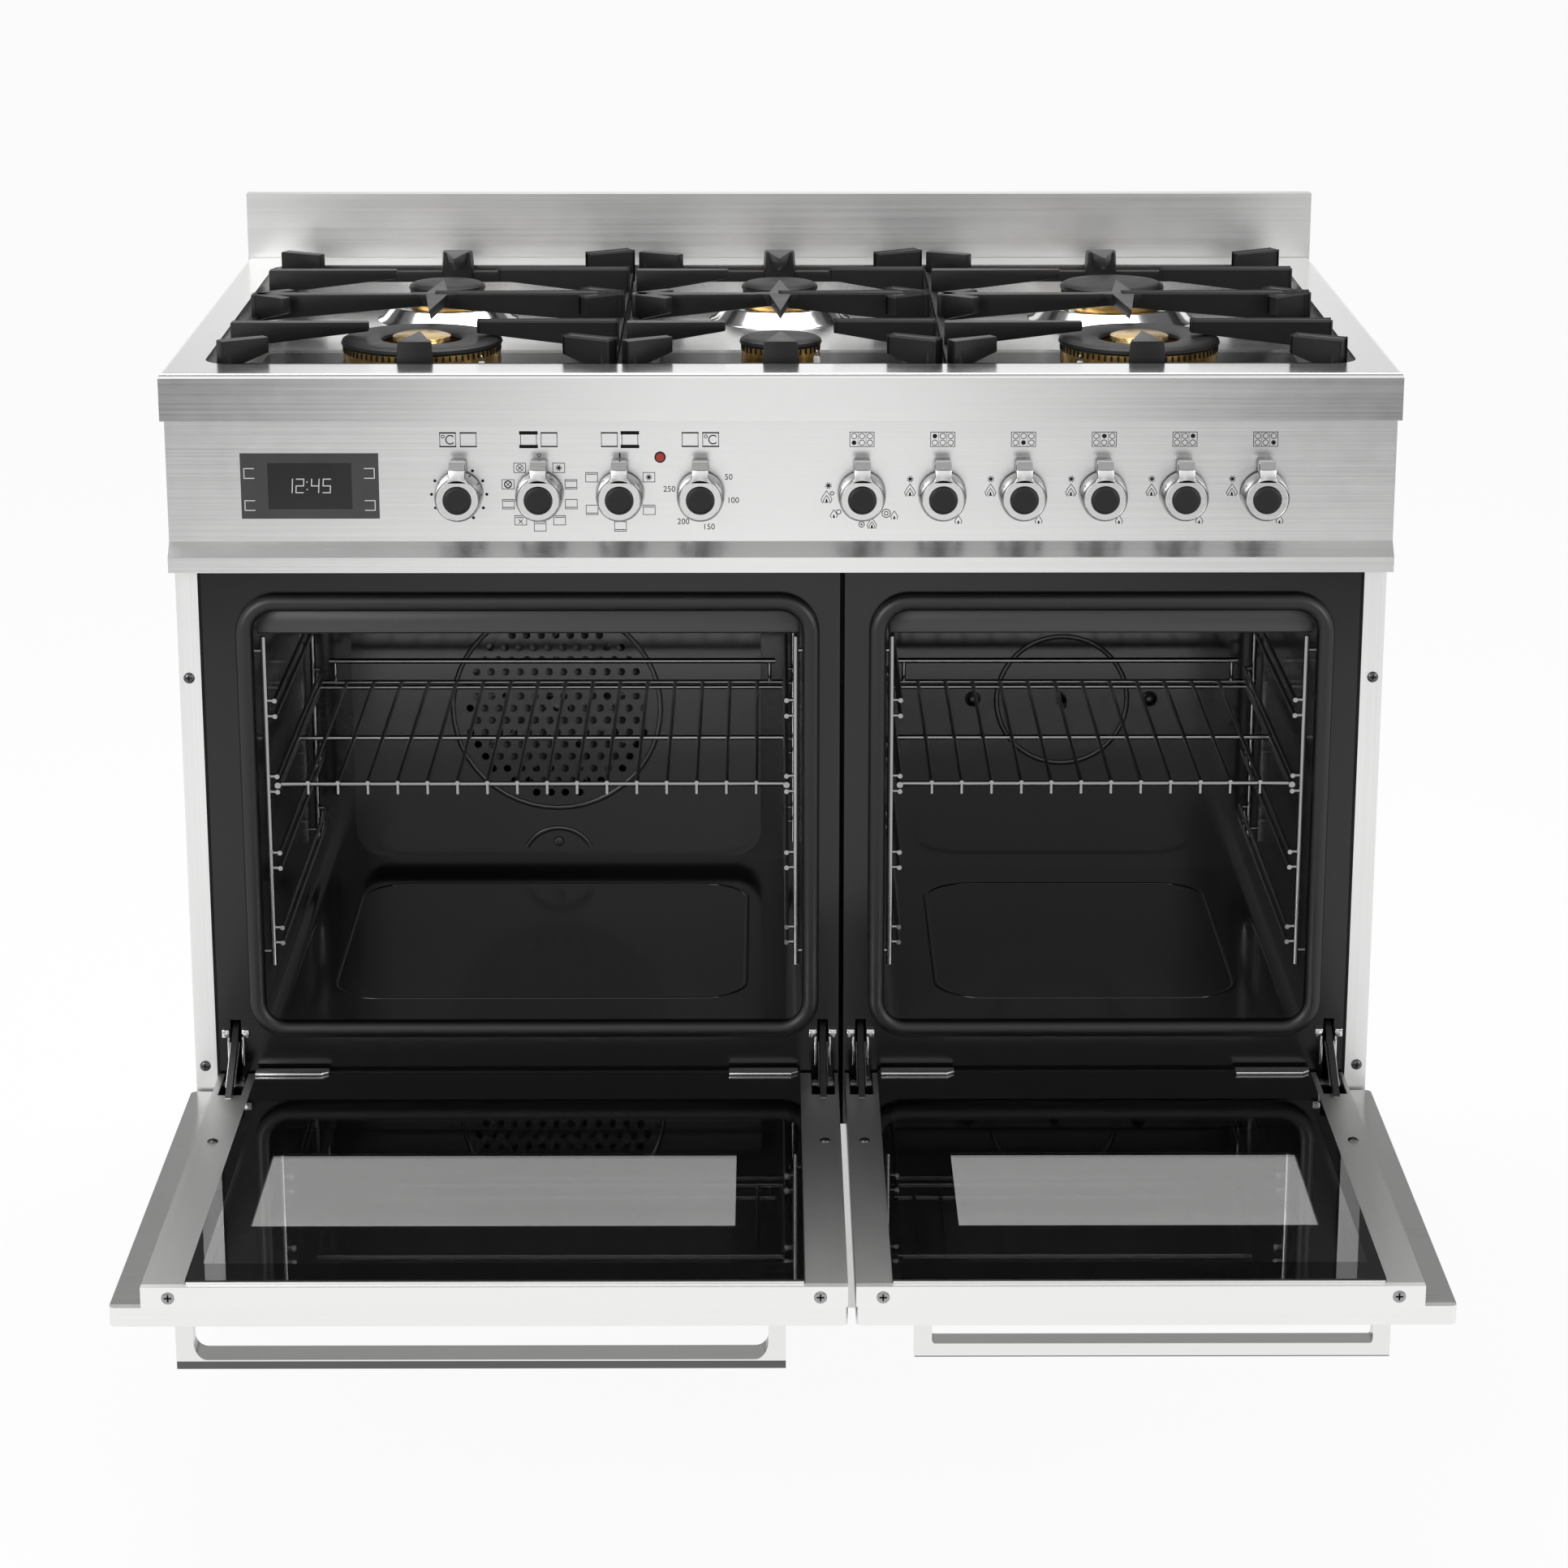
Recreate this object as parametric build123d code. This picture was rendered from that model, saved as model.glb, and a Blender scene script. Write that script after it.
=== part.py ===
from build123d import *

import math
import os
from dataclasses import dataclass

# A metre-wide gas cooker with a six-burner hob and two ovens, modelled with both doors open.
# All sizes are in millimetres. X runs to the right, Z up from the floor, and Y to the back.
# Depths are measured back from the front plane of the hob trim and turned into Y by place().

# Whole cooker
overall_width = 1000.0
body_depth = 600.0
hob_height = 850.0
foot_height = 30.0
sheet = 2.0
side_inset = 4.0
running_clearance = 0.05
loose_clearance = 0.3

# Hob top and backguard
hob_trim_height = 38.5
hob_side_rim = 30.0
hob_front_rim = 44.0
well_depth = 28.0
well_corner = 24.0
trim_edge = 4.0
backguard_height = 60.0
backguard_depth = 15.0
backguard_drop = 70.0

# Control panel
panel_height = 101.5
panel_setback = 12.0
ledge_height = 11.0
lip_height = 12.6
panel_inset = 2.0

# Knobs and what they turn
knob_pitch = 65.3
knob_drop = 62.5
knob_stand = 21.5
knob_rear_gap = 3.5
knob_base_radius = 19.5
knob_face_radius = 17.6
pointer_width = 12.0
pointer_reach = 31.0
pointer_thickness = 7.0
button_radius = 11.0
button_rise = 1.0
stem_radius = 3.5
stem_hole_radius = 4.6
stem_length = 31.5
push_travel = 3.0
plug_radius = 7.0
plug_length = 30.0
plug_start = 6.0
tap_size = 24.0
tap_depth = 46.0
switch_size = 30.0
switch_depth = 42.0
oven_knob_places = (-4, -3, -2, -1)
gas_knob_places = (1, 2, 3, 4, 5, 6)

# Gas pipes
manifold_radius = 8.0
manifold_wall = 1.5
boss_radius = 9.5
inlet_radius = 10.4775
inlet_reach = 34.0
inlet_inset = 56.0

# Display and lamp
display_left = -438.0
display_width = 112.0
display_height = 54.0
display_drop = 28.5
display_rise = 0.5
display_depth = 26.0
lamp_side = -98.0
lamp_drop = 31.9
lamp_radius = 2.6
lamp_head_radius = 3.4
lamp_head = 1.0
lamp_length = 12.0

# Oven fronts and plinth
face_setback = 23.0
front_bottom = 200.0
front_split = 50.3
front_split_gap = 4.0
strip_width = 18.0
strip_gap = 0.5
strip_joint = 0.5

# Oven cavities
oven_back_space = 100.0
oven_floor = 294.0
oven_height = 356.0
cavity_corner = 14.0
seal_thickness = 10.7
seal_width = 12.0
seal_corner = 26.0
seal_margin = 14.0

# Rails and shelves
rail_level_1 = 362.3
rail_level_2 = 428.3
rail_level_3 = 495.0
rail_level_4 = 560.5
rail_pair = 13.4
rail_rod = 2.0
rail_post_rod = 2.6
rail_tie_rod = 1.7
rail_stand = 13.0
rail_post_stand = 5.0
rail_peg_inset = 12.0
rail_front = 22.0
rail_rear_gap = 51.0
rail_bottom = 336.0
rail_top = 622.0
shelf_frame_rod = 2.6
shelf_cross_rod = 2.2
shelf_wire_rod = 1.8
shelf_curl_rod = 1.6
shelf_nose = 4.2
shelf_wire_pitch = 25.0
shelf_front = 28.0
shelf_middle = 172.0
shelf_stop_gap = 66.0
shelf_stop_run = 18.0
shelf_stop_rise = 20.0
shelf_stop_inset = 14.0
shelf_curl = 10.0

# Fan behind the left rear wall
fan_space = 27.0
fan_cover_width = 381.0
fan_cover_bottom = 13.0
fan_cover_height = 300.0
fan_cover_corner = 26.0
fan_height = 157.0
fan_field_radius = 91.0
fan_hole_radius = 3.6
fan_hole_pitch = 13.5
fan_row_pitch = 11.7
fan_radius = 80.0
fan_blade_count = 9
fan_blade_length = 40.0
fan_blade_depth = 14.0
fan_blade_thickness = 1.6
fan_plate = 1.6
fan_hub_radius = 12.0
fan_shaft_radius = 4.0
fan_wall_gap = 4.0
fan_motor_radius = 38.0
fan_motor_length = 52.0

# Grill elements
grill_rod = 3.5
grill_drop = 14.0
grill_front = 70.0
grill_inset = 60.0
grill_middle_inset = 130.0

# Doors, given as they lie open
door_split = 51.0
door_split_gap = 6.0
window_near = 114.0
window_far = 269.0
hinge_setback = 4.0
hinge_height = 242.0
hinge_end = 15.0
door_height = 456.0
door_outer_drop = 26.0
skin_depth = 15.0
frame_depth = 16.0
glass_thickness = 3.0
frame_side_step = 24.0
frame_border = 40.0
glass_lap = 8.0
glass_end_gap = 7.0
door_corner = 5.0
window_pane = 4.0
window_lap = 12.0
hinge_pin_radius = 4.0
hinge_pin_half = 12.0
pocket_width = 20.0
pocket_depth = 52.0
bracket_width = 4.0
bracket_offset = 6.5
bracket_round = 6.0
arm_width = 5.0
arm_thickness = 8.0
arm_inner_reach = 40.0
arm_inner_rise = 4.0
arm_slope_run = 59.0
arm_slope_rise = 36.0
arm_tail = 12.0
arm_root = 12.0
slot_clearance = 2.0
slot_bottom = 240.0
slot_top = 294.0

# Handles
handle_inset = 12.0
handle_bar = 13.0
handle_depth = 14.0
handle_round = 10.0

# Pan supports
support_rise = 16.0
support_bar = 9.0
support_frame_drop = 19.0
support_frame_depth = 10.0
support_front_gap = 14.0
support_rear_gap = 11.0
support_side_gap = 8.0
support_centre_width = 262.0
support_gap = 4.0
support_post_radius = 7.0
support_post_inset = 9.0
support_cross_shift = -2.0
support_finger_gap = 46.0
support_finger_shift = 5.0
support_root_width = 12.0
support_tip_width = 8.5
support_root_depth = 22.0
support_tip_depth = 8.0
support_prong_reach = 36.0
support_prong_turn = 30.0
support_prong_heel = 6.5
support_prong_width = 11.0
support_prong_root = 25.0
support_prong_tip = 13.0
support_wedge_width = 26.0
support_wedge_reach = 54.0
support_wedge_post = 16.0
support_wedge_depth = 12.0
support_star_half = 9.5
support_star_front = 92.0
support_star_rear = 76.0
support_star_arm = 22.0
support_star_depth = 11.0

# Burners
burner_front_inset = 106.0
burner_rear_inset = 126.0
burner_side_inset = 170.0
burner_neck_radius = 17.0
burner_neck_drop = 24.0
burner_seat = 5.0
burner_crown_drop = 3.0
burner_cap_thickness = 6.0
burner_cap_lap = 3.0
small_cap_radius = 34.5
large_cap_radius = 47.0
double_cap_radius = 67.5
double_ring_inner = 33.0
double_inner_cap = 25.0
skirt_height = 12.0
skirt_width = 28.0
skirt_top_width = 12.0
skirt_gap = 1.0
spark_radius = 2.8
spark_height = 22.0
spark_gap = 5.0

# Feet
foot_radius = 19.0
foot_stem_radius = 7.0
foot_pad = 10.0
foot_side_inset = 60.0
foot_front = 80.0
foot_back_inset = 60.0
tray_lip = 24.0

# Heights and planes worked out from the sizes above
hob_bottom = hob_height - hob_trim_height
well_floor = hob_height - well_depth
rim_under = hob_height - sheet
support_top = hob_height + support_rise
burner_crown_top = hob_height - burner_crown_drop
panel_top = rim_under - trim_edge
panel_bottom = hob_bottom - panel_height
ledge_bottom = panel_bottom - ledge_height
lip_bottom = ledge_bottom - lip_height
knob_height = hob_bottom - knob_drop
oven_ceiling = oven_floor + oven_height
half_width = overall_width / 2
body_half = half_width - side_inset
panel_back = panel_setback + sheet
front_back = face_setback + sheet
back_face = body_depth - hob_front_rim / 2
door_outer = hinge_height - door_outer_drop
skin_top = door_outer + skin_depth
frame_top = skin_top + frame_depth
door_rear = hinge_setback + hinge_end
door_front = door_rear - door_height
knob_rear = panel_setback - knob_rear_gap
tap_bottom_plane = panel_back + tap_depth
display_back = panel_back
well_front = hob_front_rim
well_rear = body_depth - hob_front_rim
well_half = half_width - hob_side_rim
inlet_side = body_half - inlet_inset
foot_side = half_width - foot_side_inset
foot_back = body_depth - foot_back_inset
oven_depth = back_face - oven_back_space - face_setback
oven_clear_depth = oven_depth - fan_space
rail_levels = (rail_level_1, rail_level_2, rail_level_3, rail_level_4)
rail_rear = oven_clear_depth - rail_rear_gap
shelf_level = rail_level_3
shelf_stop = oven_clear_depth - shelf_stop_gap
shelf_rear = shelf_stop - shelf_stop_run
burner_front = well_front + burner_front_inset
burner_rear = well_rear - burner_rear_inset
burner_side = well_half - burner_side_inset
support_front = well_front + support_front_gap
support_rear = well_rear - support_rear_gap
support_cross = body_depth / 2 + support_cross_shift
support_inner = support_centre_width / 2 + support_gap
support_outer = well_half - support_side_gap

# The Y of the hob trim's front plane, which puts the origin in the middle of the open footprint
front_y = (-door_front - body_depth - backguard_depth) / 2


@dataclass(frozen=True)
class Oven:
    """One oven with its door. Widths are set in from the door's outer and inner edges."""

    side: str
    outward: int
    depth: float
    cavity_outer: float
    cavity_inner: float
    glass_outer: float
    glass_inner: float
    window_outer: float
    window_inner: float
    hinge_outer: float
    hinge_inner: float
    handle_outer: float
    handle_inner: float
    handle_stand: float

    def between(self, outer, inner):
        """Left and right X of what is set in from the door's outer and inner edges."""
        outer_x = self.outward * (half_width - outer)
        inner_x = door_split + self.outward * (door_split_gap / 2 + inner)
        return min(outer_x, inner_x), max(outer_x, inner_x)

    @property
    def door(self):
        """Left and right X of the door."""
        return self.between(0, 0)

    @property
    def cavity(self):
        """Left and right X of the cavity's inside."""
        return self.between(self.cavity_outer, self.cavity_inner)

    @property
    def front(self):
        """Left and right X of the oven's front plate."""
        outer_x = self.outward * (body_half - strip_width - strip_gap)
        inner_x = front_split + self.outward * front_split_gap / 2
        return min(outer_x, inner_x), max(outer_x, inner_x)

    @property
    def glass(self):
        """Left and right X of the inner glass."""
        return self.between(self.glass_outer, self.glass_inner)

    @property
    def window(self):
        """Left and right X of the window's opening."""
        return self.between(self.window_outer, self.window_inner)

    @property
    def hinges(self):
        """X of the two hinges."""
        return self.between(self.hinge_outer, self.hinge_inner)

    @property
    def handle(self):
        """Left and right X of the handle."""
        return self.between(self.handle_outer, self.handle_inner)

    @property
    def middle(self):
        """X of the middle of the cavity."""
        return sum(self.cavity) / 2


left_oven = Oven(
    side="left", outward=-1, depth=oven_depth, cavity_outer=66.0, cavity_inner=30.5, glass_outer=56.5,
    glass_inner=32.0, window_outer=84.0, window_inner=85.0, hinge_outer=39.0, hinge_inner=13.0,
    handle_outer=47.0, handle_inner=46.0, handle_stand=40.0,
)
right_oven = Oven(
    side="right", outward=1, depth=oven_clear_depth, cavity_outer=59.3, cavity_inner=32.4, glass_outer=52.5,
    glass_inner=27.0, window_outer=80.0, window_inner=84.0, hinge_outer=37.0, hinge_inner=13.0,
    handle_outer=47.0, handle_inner=44.0, handle_stand=31.0,
)
ovens = (left_oven, right_oven)


def place(x, depth, z):
    """A point from its X, its depth behind the hob trim's front plane and its height."""
    return Vector(x, front_y + depth, z)


def block(x, depth, z):
    """A box between pairs of X, depth and height."""
    low = place(min(x), min(depth), min(z))
    high = place(max(x), max(depth), max(z))
    size = high - low
    return Pos(low + size / 2) * Box(size.X, size.Y, size.Z)


def rod(start, end, radius):
    """A round rod between two points given as X, depth and height."""
    a = place(*start)
    b = place(*end)
    return Solid.make_cylinder(radius, (b - a).length, Plane(origin=a, z_dir=b - a))


def rod_y(x, z, near, far, radius):
    """A round rod that runs from front to back."""
    return rod((x, near, z), (x, far, z), radius)


def join(pieces):
    """One solid out of pieces that overlap or touch face to face."""
    first, *rest = pieces
    return first.fuse(*rest)


def profile_x(points, x):
    """A prism along X over a polygon of (depth, height) points."""
    outline = [place(min(x), depth, z) for depth, z in points]
    face = Face(Wire.make_polygon(outline, close=True))
    return Solid.extrude(face, Vector(max(x) - min(x), 0, 0))


def plate_xz(width, height, corner, thickness, x, depth, z, holes=()):
    """An upright plate with round corners, centred at x and z, with its front at the given depth.

    holes lists (x, z, radius) of round holes, measured from the plate's centre.
    """
    outline = RectangleRounded(width, height, corner)
    for hole_x, hole_z, radius in holes:
        outline -= Pos(hole_x, hole_z) * Circle(radius)
    plane = Plane(origin=place(x, depth + thickness, z), x_dir=(1, 0, 0), z_dir=(0, -1, 0))
    return extrude(plane * outline, thickness)


def group(solids):
    """Several separate solids kept in one node."""
    return Compound(children=list(solids))


def side_panels():
    """The two outer side sheets, which carry the hob rim."""
    outline = (
        (front_back, foot_height), (front_back, panel_bottom + sheet), (panel_back, panel_bottom + sheet),
        (panel_back, rim_under), (back_face, rim_under), (back_face, foot_height),
    )
    return group(profile_x(outline, (side * body_half, side * (body_half - sheet))) for side in (-1, 1))


def back_panel():
    """The rear sheet, with a hole for the gas inlet."""
    inner = body_half - sheet
    panel = block((-inner, inner), (back_face - sheet, back_face), (foot_height, rim_under))
    hole_radius = manifold_radius + loose_clearance
    hole = rod_y(inlet_side, knob_height, back_face - 2 * sheet, back_face + sheet, hole_radius)
    return panel.cut(hole)


def base_tray():
    """The floor of the body, a sheet with turned-up edges."""
    inner = body_half - sheet
    near, far = front_back, back_face - sheet
    tray = block((-inner, inner), (near, far), (foot_height, foot_height + tray_lip))
    hollow_x = (-inner + sheet, inner - sheet)
    hollow = block(hollow_x, (near + sheet, far - sheet), (foot_height + sheet, foot_height + 2 * tray_lip))
    return tray.cut(hollow)


def feet():
    """Four feet under the base tray."""
    solids = []
    for x in (-foot_side, foot_side):
        for depth in (foot_front, foot_back):
            pad = rod((x, depth, 0), (x, depth, foot_pad), foot_radius)
            stem = rod((x, depth, foot_pad), (x, depth, foot_height), foot_stem_radius)
            solids.append(join([pad, stem]))
    return group(solids)


def plinth_panel():
    """The front sheet below the ovens."""
    height = (foot_height, front_bottom - strip_joint)
    return block((-body_half, body_half), (face_setback, front_back), height)


def hob_top():
    """The pressed hob tray: a rim round a sunk well with a hole for each burner."""
    outer = block((-half_width, half_width), (0, body_depth), (hob_bottom, hob_height))
    outer = fillet(outer.edges().group_by(Axis.Z)[-1], trim_edge)
    well = block((-well_half, well_half), (well_front, well_rear), (well_floor, hob_height + sheet))
    well = fillet(well.edges().filter_by(Axis.Z), well_corner)
    under_x = half_width - sheet
    under_z = (hob_bottom - sheet, rim_under - trim_edge)
    under = block((-under_x, under_x), (sheet, body_depth - sheet), under_z)
    kept_x = well_half + sheet
    kept_y = (well_front - sheet, well_rear + sheet)
    kept = block((-kept_x, kept_x), kept_y, (well_floor - sheet, hob_height))
    rim_x = half_width - trim_edge
    rim = block((-rim_x, rim_x), (trim_edge, body_depth - trim_edge), (hob_bottom, rim_under))
    holes = [
        rod((x, depth, well_floor - 2 * sheet), (x, depth, hob_height), burner_neck_radius + loose_clearance)
        for x, depth, radius, double in burners
    ]
    return outer.cut(well, under.cut(kept), rim.cut(kept), *holes)


def backguard():
    """The folded upstand behind the hob, open at its lower edge."""
    bottom = hob_height - backguard_drop
    top = hob_height + backguard_height
    shell = block((-half_width, half_width), (body_depth, body_depth + backguard_depth), (bottom, top))
    hollow_x = (-half_width + sheet, half_width - sheet)
    hollow_y = (body_depth + sheet, body_depth + backguard_depth - sheet)
    return shell.cut(block(hollow_x, hollow_y, (bottom - sheet, top - sheet)))


def knob_x(place_number):
    """X of a knob, counted in steps from the middle of the panel."""
    return place_number * knob_pitch


def display_box(near, far):
    """A box over the display window between two depths."""
    top = hob_bottom - display_drop
    return block((display_left, display_left + display_width), (near, far), (top - display_height, top))


def control_panel():
    """The folded front panel: upright face, sloping ledge and lip, with holes for stems, display and lamp."""
    outline = (
        (0, lip_bottom), (0, ledge_bottom), (panel_setback, panel_bottom), (panel_setback, panel_top),
        (panel_back, panel_top), (panel_back, panel_bottom - sheet / 2), (sheet, ledge_bottom - sheet / 2),
        (sheet, lip_bottom + sheet), (front_back, lip_bottom + sheet), (front_back, lip_bottom),
    )
    panel = profile_x(outline, (-half_width + panel_inset, half_width - panel_inset))
    cuts = [display_box(0, panel_back + sheet)]
    for number in oven_knob_places + gas_knob_places:
        cuts.append(rod_y(knob_x(number), knob_height, 0, panel_back + sheet, stem_hole_radius))
    lamp_hole = lamp_radius + loose_clearance
    cuts.append(rod_y(lamp_side, hob_bottom - lamp_drop, 0, panel_back + sheet, lamp_hole))
    return panel.cut(*cuts)


def indicator_lens():
    """The small lamp lens, a headed plug in the panel."""
    z = hob_bottom - lamp_drop
    head = rod_y(lamp_side, z, panel_setback - lamp_head, panel_setback, lamp_head_radius)
    stem = rod_y(lamp_side, z, panel_setback - lamp_head, panel_setback + lamp_length, lamp_radius)
    return join([head, stem])


def knob(number):
    """A knob with its pointer, centre button and stem; the stem enters a tap or a switch."""
    x = knob_x(number)
    face = knob_rear - knob_stand
    body_plane = Plane(origin=place(x, knob_rear, knob_height), z_dir=(0, -1, 0))
    body = Solid.make_cone(knob_base_radius, knob_face_radius, knob_stand, body_plane)
    half_pointer = pointer_width / 2
    pointer_z = (knob_height, knob_height + pointer_reach - half_pointer)
    pointer_y = (face, face + pointer_thickness)
    pointer = block((x - half_pointer, x + half_pointer), pointer_y, pointer_z)
    tip = rod_y(x, pointer_z[1], *pointer_y, half_pointer)
    button = rod_y(x, knob_height, face - button_rise, face + button_rise, button_radius)
    stem = rod_y(x, knob_height, knob_rear - button_rise, knob_rear + stem_length, stem_radius)
    return join([body, pointer, tip, button, stem])


def gas_plug(number):
    """The plug that turns inside a tap; the knob's stem slides in its bore."""
    x = knob_x(number)
    near = panel_back + plug_start + loose_clearance
    plug = rod_y(x, knob_height, near, near + plug_length, plug_radius)
    bore_end = knob_rear + stem_length + 2 * push_travel
    return plug.cut(rod_y(x, knob_height, near - sheet, bore_end, stem_radius + running_clearance))


def gas_taps():
    """Six tap bodies behind the panel, each bored for its plug."""
    solids = []
    half = tap_size / 2
    for number in gas_knob_places:
        x = knob_x(number)
        depth = (panel_back, tap_bottom_plane)
        tap = block((x - half, x + half), depth, (knob_height - half, knob_height + half))
        plug_bore = rod_y(x, knob_height, panel_back + plug_start, tap_bottom_plane + sheet,
                          plug_radius + running_clearance)
        stem_bore = rod_y(x, knob_height, panel_back - sheet, tap_bottom_plane, stem_hole_radius)
        solids.append(tap.cut(plug_bore, stem_bore))
    return group(solids)


def oven_switches():
    """Four switch and thermostat bodies, each bored for the stem of an oven knob."""
    solids = []
    half = switch_size / 2
    for number in oven_knob_places:
        x = knob_x(number)
        depth = (panel_back, panel_back + switch_depth)
        body = block((x - half, x + half), depth, (knob_height - half, knob_height + half))
        bore_end = knob_rear + stem_length + loose_clearance
        solids.append(body.cut(rod_y(x, knob_height, 0, bore_end, stem_radius + running_clearance)))
    return group(solids)


def gas_manifold():
    """The gas pipe behind the taps, with a boss to each tap and the inlet pipe to the rear."""
    depth = tap_bottom_plane + 2 * manifold_radius
    start = knob_x(gas_knob_places[0]) - tap_size
    pipe = rod((start, depth, knob_height), (inlet_side, depth, knob_height), manifold_radius)
    elbow_x = (inlet_side - boss_radius, inlet_side + boss_radius)
    elbow_z = (knob_height - boss_radius, knob_height + boss_radius)
    elbow = block(elbow_x, (depth - boss_radius, depth + boss_radius), elbow_z)
    bosses = [rod_y(knob_x(n), knob_height, tap_bottom_plane, depth, boss_radius) for n in gas_knob_places]
    feed = rod_y(inlet_side, knob_height, depth, back_face, manifold_radius)
    inlet_end = back_face + inlet_reach
    inlet = rod_y(inlet_side, knob_height, back_face, inlet_end, inlet_radius)
    bore_radius = manifold_radius - manifold_wall
    bore = rod((start + manifold_wall, depth, knob_height), (inlet_side, depth, knob_height), bore_radius)
    feed_bore = rod_y(inlet_side, knob_height, depth, inlet_end + sheet, bore_radius)
    return join([pipe, *bosses, elbow, feed, inlet]).cut(bore, feed_bore)


def front_strips():
    """The two upright strips beside the oven fronts."""
    inner = body_half - strip_width
    return group(
        block((side * inner, side * body_half), (face_setback, front_back), (front_bottom, lip_bottom))
        for side in (-1, 1)
    )


def oven_opening(oven, grow, corner, near, far):
    """A round-cornered prism over an oven's mouth, grown by a margin, between two depths."""
    left, right = oven.cavity
    width = right - left + 2 * grow
    height = oven_height + 2 * grow
    return plate_xz(width, height, corner, far - near, oven.middle, near, oven_floor + oven_height / 2)


def oven_fronts():
    """The dark front plate of each oven, with its mouth and the slots of the stay arms."""
    solids = []
    slot_half = arm_width / 2 + slot_clearance
    for oven in ovens:
        plate = block(oven.front, (face_setback, front_back), (front_bottom, lip_bottom))
        cuts = [oven_opening(oven, 0, cavity_corner, face_setback - sheet, front_back + sheet)]
        for x in oven.hinges:
            slot_depth = (face_setback - sheet, front_back + sheet)
            cuts.append(block((x - slot_half, x + slot_half), slot_depth, (slot_bottom, slot_top)))
        solids.append(plate.cut(*cuts))
    return group(solids)


def oven_rear(oven):
    """Depth of the inner face of an oven's rear wall."""
    return face_setback + oven.depth


def oven_cavity(oven):
    """The enamelled oven box, open at the front; the fan oven has a hole for the fan's shaft."""
    rear = oven_rear(oven)
    shell = oven_opening(oven, sheet, cavity_corner + sheet, front_back, rear + sheet)
    cuts = [oven_opening(oven, 0, cavity_corner, front_back - sheet, rear)]
    if oven is left_oven:
        hole = fan_shaft_radius + 2 * sheet
        cuts.append(rod_y(oven.middle, oven_floor + fan_height, rear - sheet, rear + 2 * sheet, hole))
    return shell.cut(*cuts)


def door_seals():
    """The rubber ring round each oven's mouth."""
    solids = []
    near = face_setback - seal_thickness
    for oven in ovens:
        outer = oven_opening(oven, seal_margin, seal_corner, near, face_setback)
        inner_grow = seal_margin - seal_width
        inner = oven_opening(oven, inner_grow, seal_corner - seal_width, near - sheet, face_setback + sheet)
        solids.append(outer.cut(inner))
    return group(solids)


def fan_holes():
    """Staggered round holes that fill the fan cover's round field, measured from the fan's axis."""
    rows = int(fan_field_radius // fan_row_pitch)
    columns = int(fan_field_radius // fan_hole_pitch) + 1
    reach = fan_field_radius - fan_hole_radius
    holes = []
    for row in range(-rows, rows + 1):
        shift = fan_hole_pitch / 2 if row % 2 else 0
        for column in range(-columns, columns + 1):
            x = column * fan_hole_pitch + shift
            z = row * fan_row_pitch
            if math.hypot(x, z) < reach:
                holes.append((x, z))
    return holes


def fan_cover():
    """The perforated cover over the fan, standing on the left oven's rear wall."""
    rear = oven_rear(left_oven)
    near = rear - fan_space
    middle_z = oven_floor + fan_cover_bottom + fan_cover_height / 2
    rise = oven_floor + fan_height - middle_z
    holes = [(x, z + rise, fan_hole_radius) for x, z in fan_holes()]
    x = left_oven.middle
    front = plate_xz(
        fan_cover_width, fan_cover_height, fan_cover_corner, sheet, x, near - sheet, middle_z, holes)
    wall = plate_xz(fan_cover_width, fan_cover_height, fan_cover_corner, fan_space, x, near, middle_z)
    inner_corner = fan_cover_corner - sheet
    hollow = plate_xz(fan_cover_width - 2 * sheet, fan_cover_height - 2 * sheet, inner_corner,
                      fan_space + sheet, x, near, middle_z)
    return join([front, wall.cut(hollow)])


def fan():
    """The fan wheel: a back plate, a hub and bent-up blades."""
    x = left_oven.middle
    z = oven_floor + fan_height
    back = oven_rear(left_oven) - fan_wall_gap
    plate_near = back - fan_plate
    near = plate_near - fan_blade_depth
    pieces = [rod_y(x, z, plate_near, back, fan_radius), rod_y(x, z, near, back, fan_hub_radius)]
    half = fan_blade_thickness / 2
    for turn in range(fan_blade_count):
        blade = block((x - half, x + half), (near, back - fan_plate / 2),
                      (z + fan_radius - fan_blade_length, z + fan_radius - fan_plate))
        axis = Axis(place(x, near, z), (0, 1, 0))
        pieces.append(blade.rotate(axis, turn * 360 / fan_blade_count))
    bore = rod_y(x, z, near - sheet, back + sheet, fan_shaft_radius + running_clearance)
    return join(pieces).cut(bore)


def fan_motor():
    """The fan's motor behind the rear wall, with the shaft that carries the wheel."""
    x = left_oven.middle
    z = oven_floor + fan_height
    rear = oven_rear(left_oven) + sheet
    body = rod_y(x, z, rear, rear + fan_motor_length, fan_motor_radius)
    shaft_near = oven_rear(left_oven) - fan_wall_gap - fan_plate - fan_blade_depth - fan_plate
    return join([body, rod_y(x, z, shaft_near, rear + sheet, fan_shaft_radius)])


def grill_elements():
    """The heating rods under each oven's ceiling: two loops that come out of the rear wall."""
    solids = []
    z = oven_ceiling - grill_drop
    near = face_setback + grill_front
    for oven in ovens:
        far = oven_rear(oven)
        cavity_left, cavity_right = oven.cavity
        left_loop = (cavity_left + grill_inset, cavity_left + grill_middle_inset)
        right_loop = (cavity_right - grill_middle_inset, cavity_right - grill_inset)
        for left, right in (left_loop, right_loop):
            legs = [rod_y(x, z, near - grill_rod, far, grill_rod) for x in (left, right)]
            bar = rod((left - grill_rod, near, z), (right + grill_rod, near, z), grill_rod)
            solids.append(join([*legs, bar]))
    return group(solids)


def rail_x(oven, side):
    """X of the runners beside a cavity wall, on its left (0) or right (1)."""
    return oven.cavity[side] + (rail_stand if side == 0 else -rail_stand)


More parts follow.
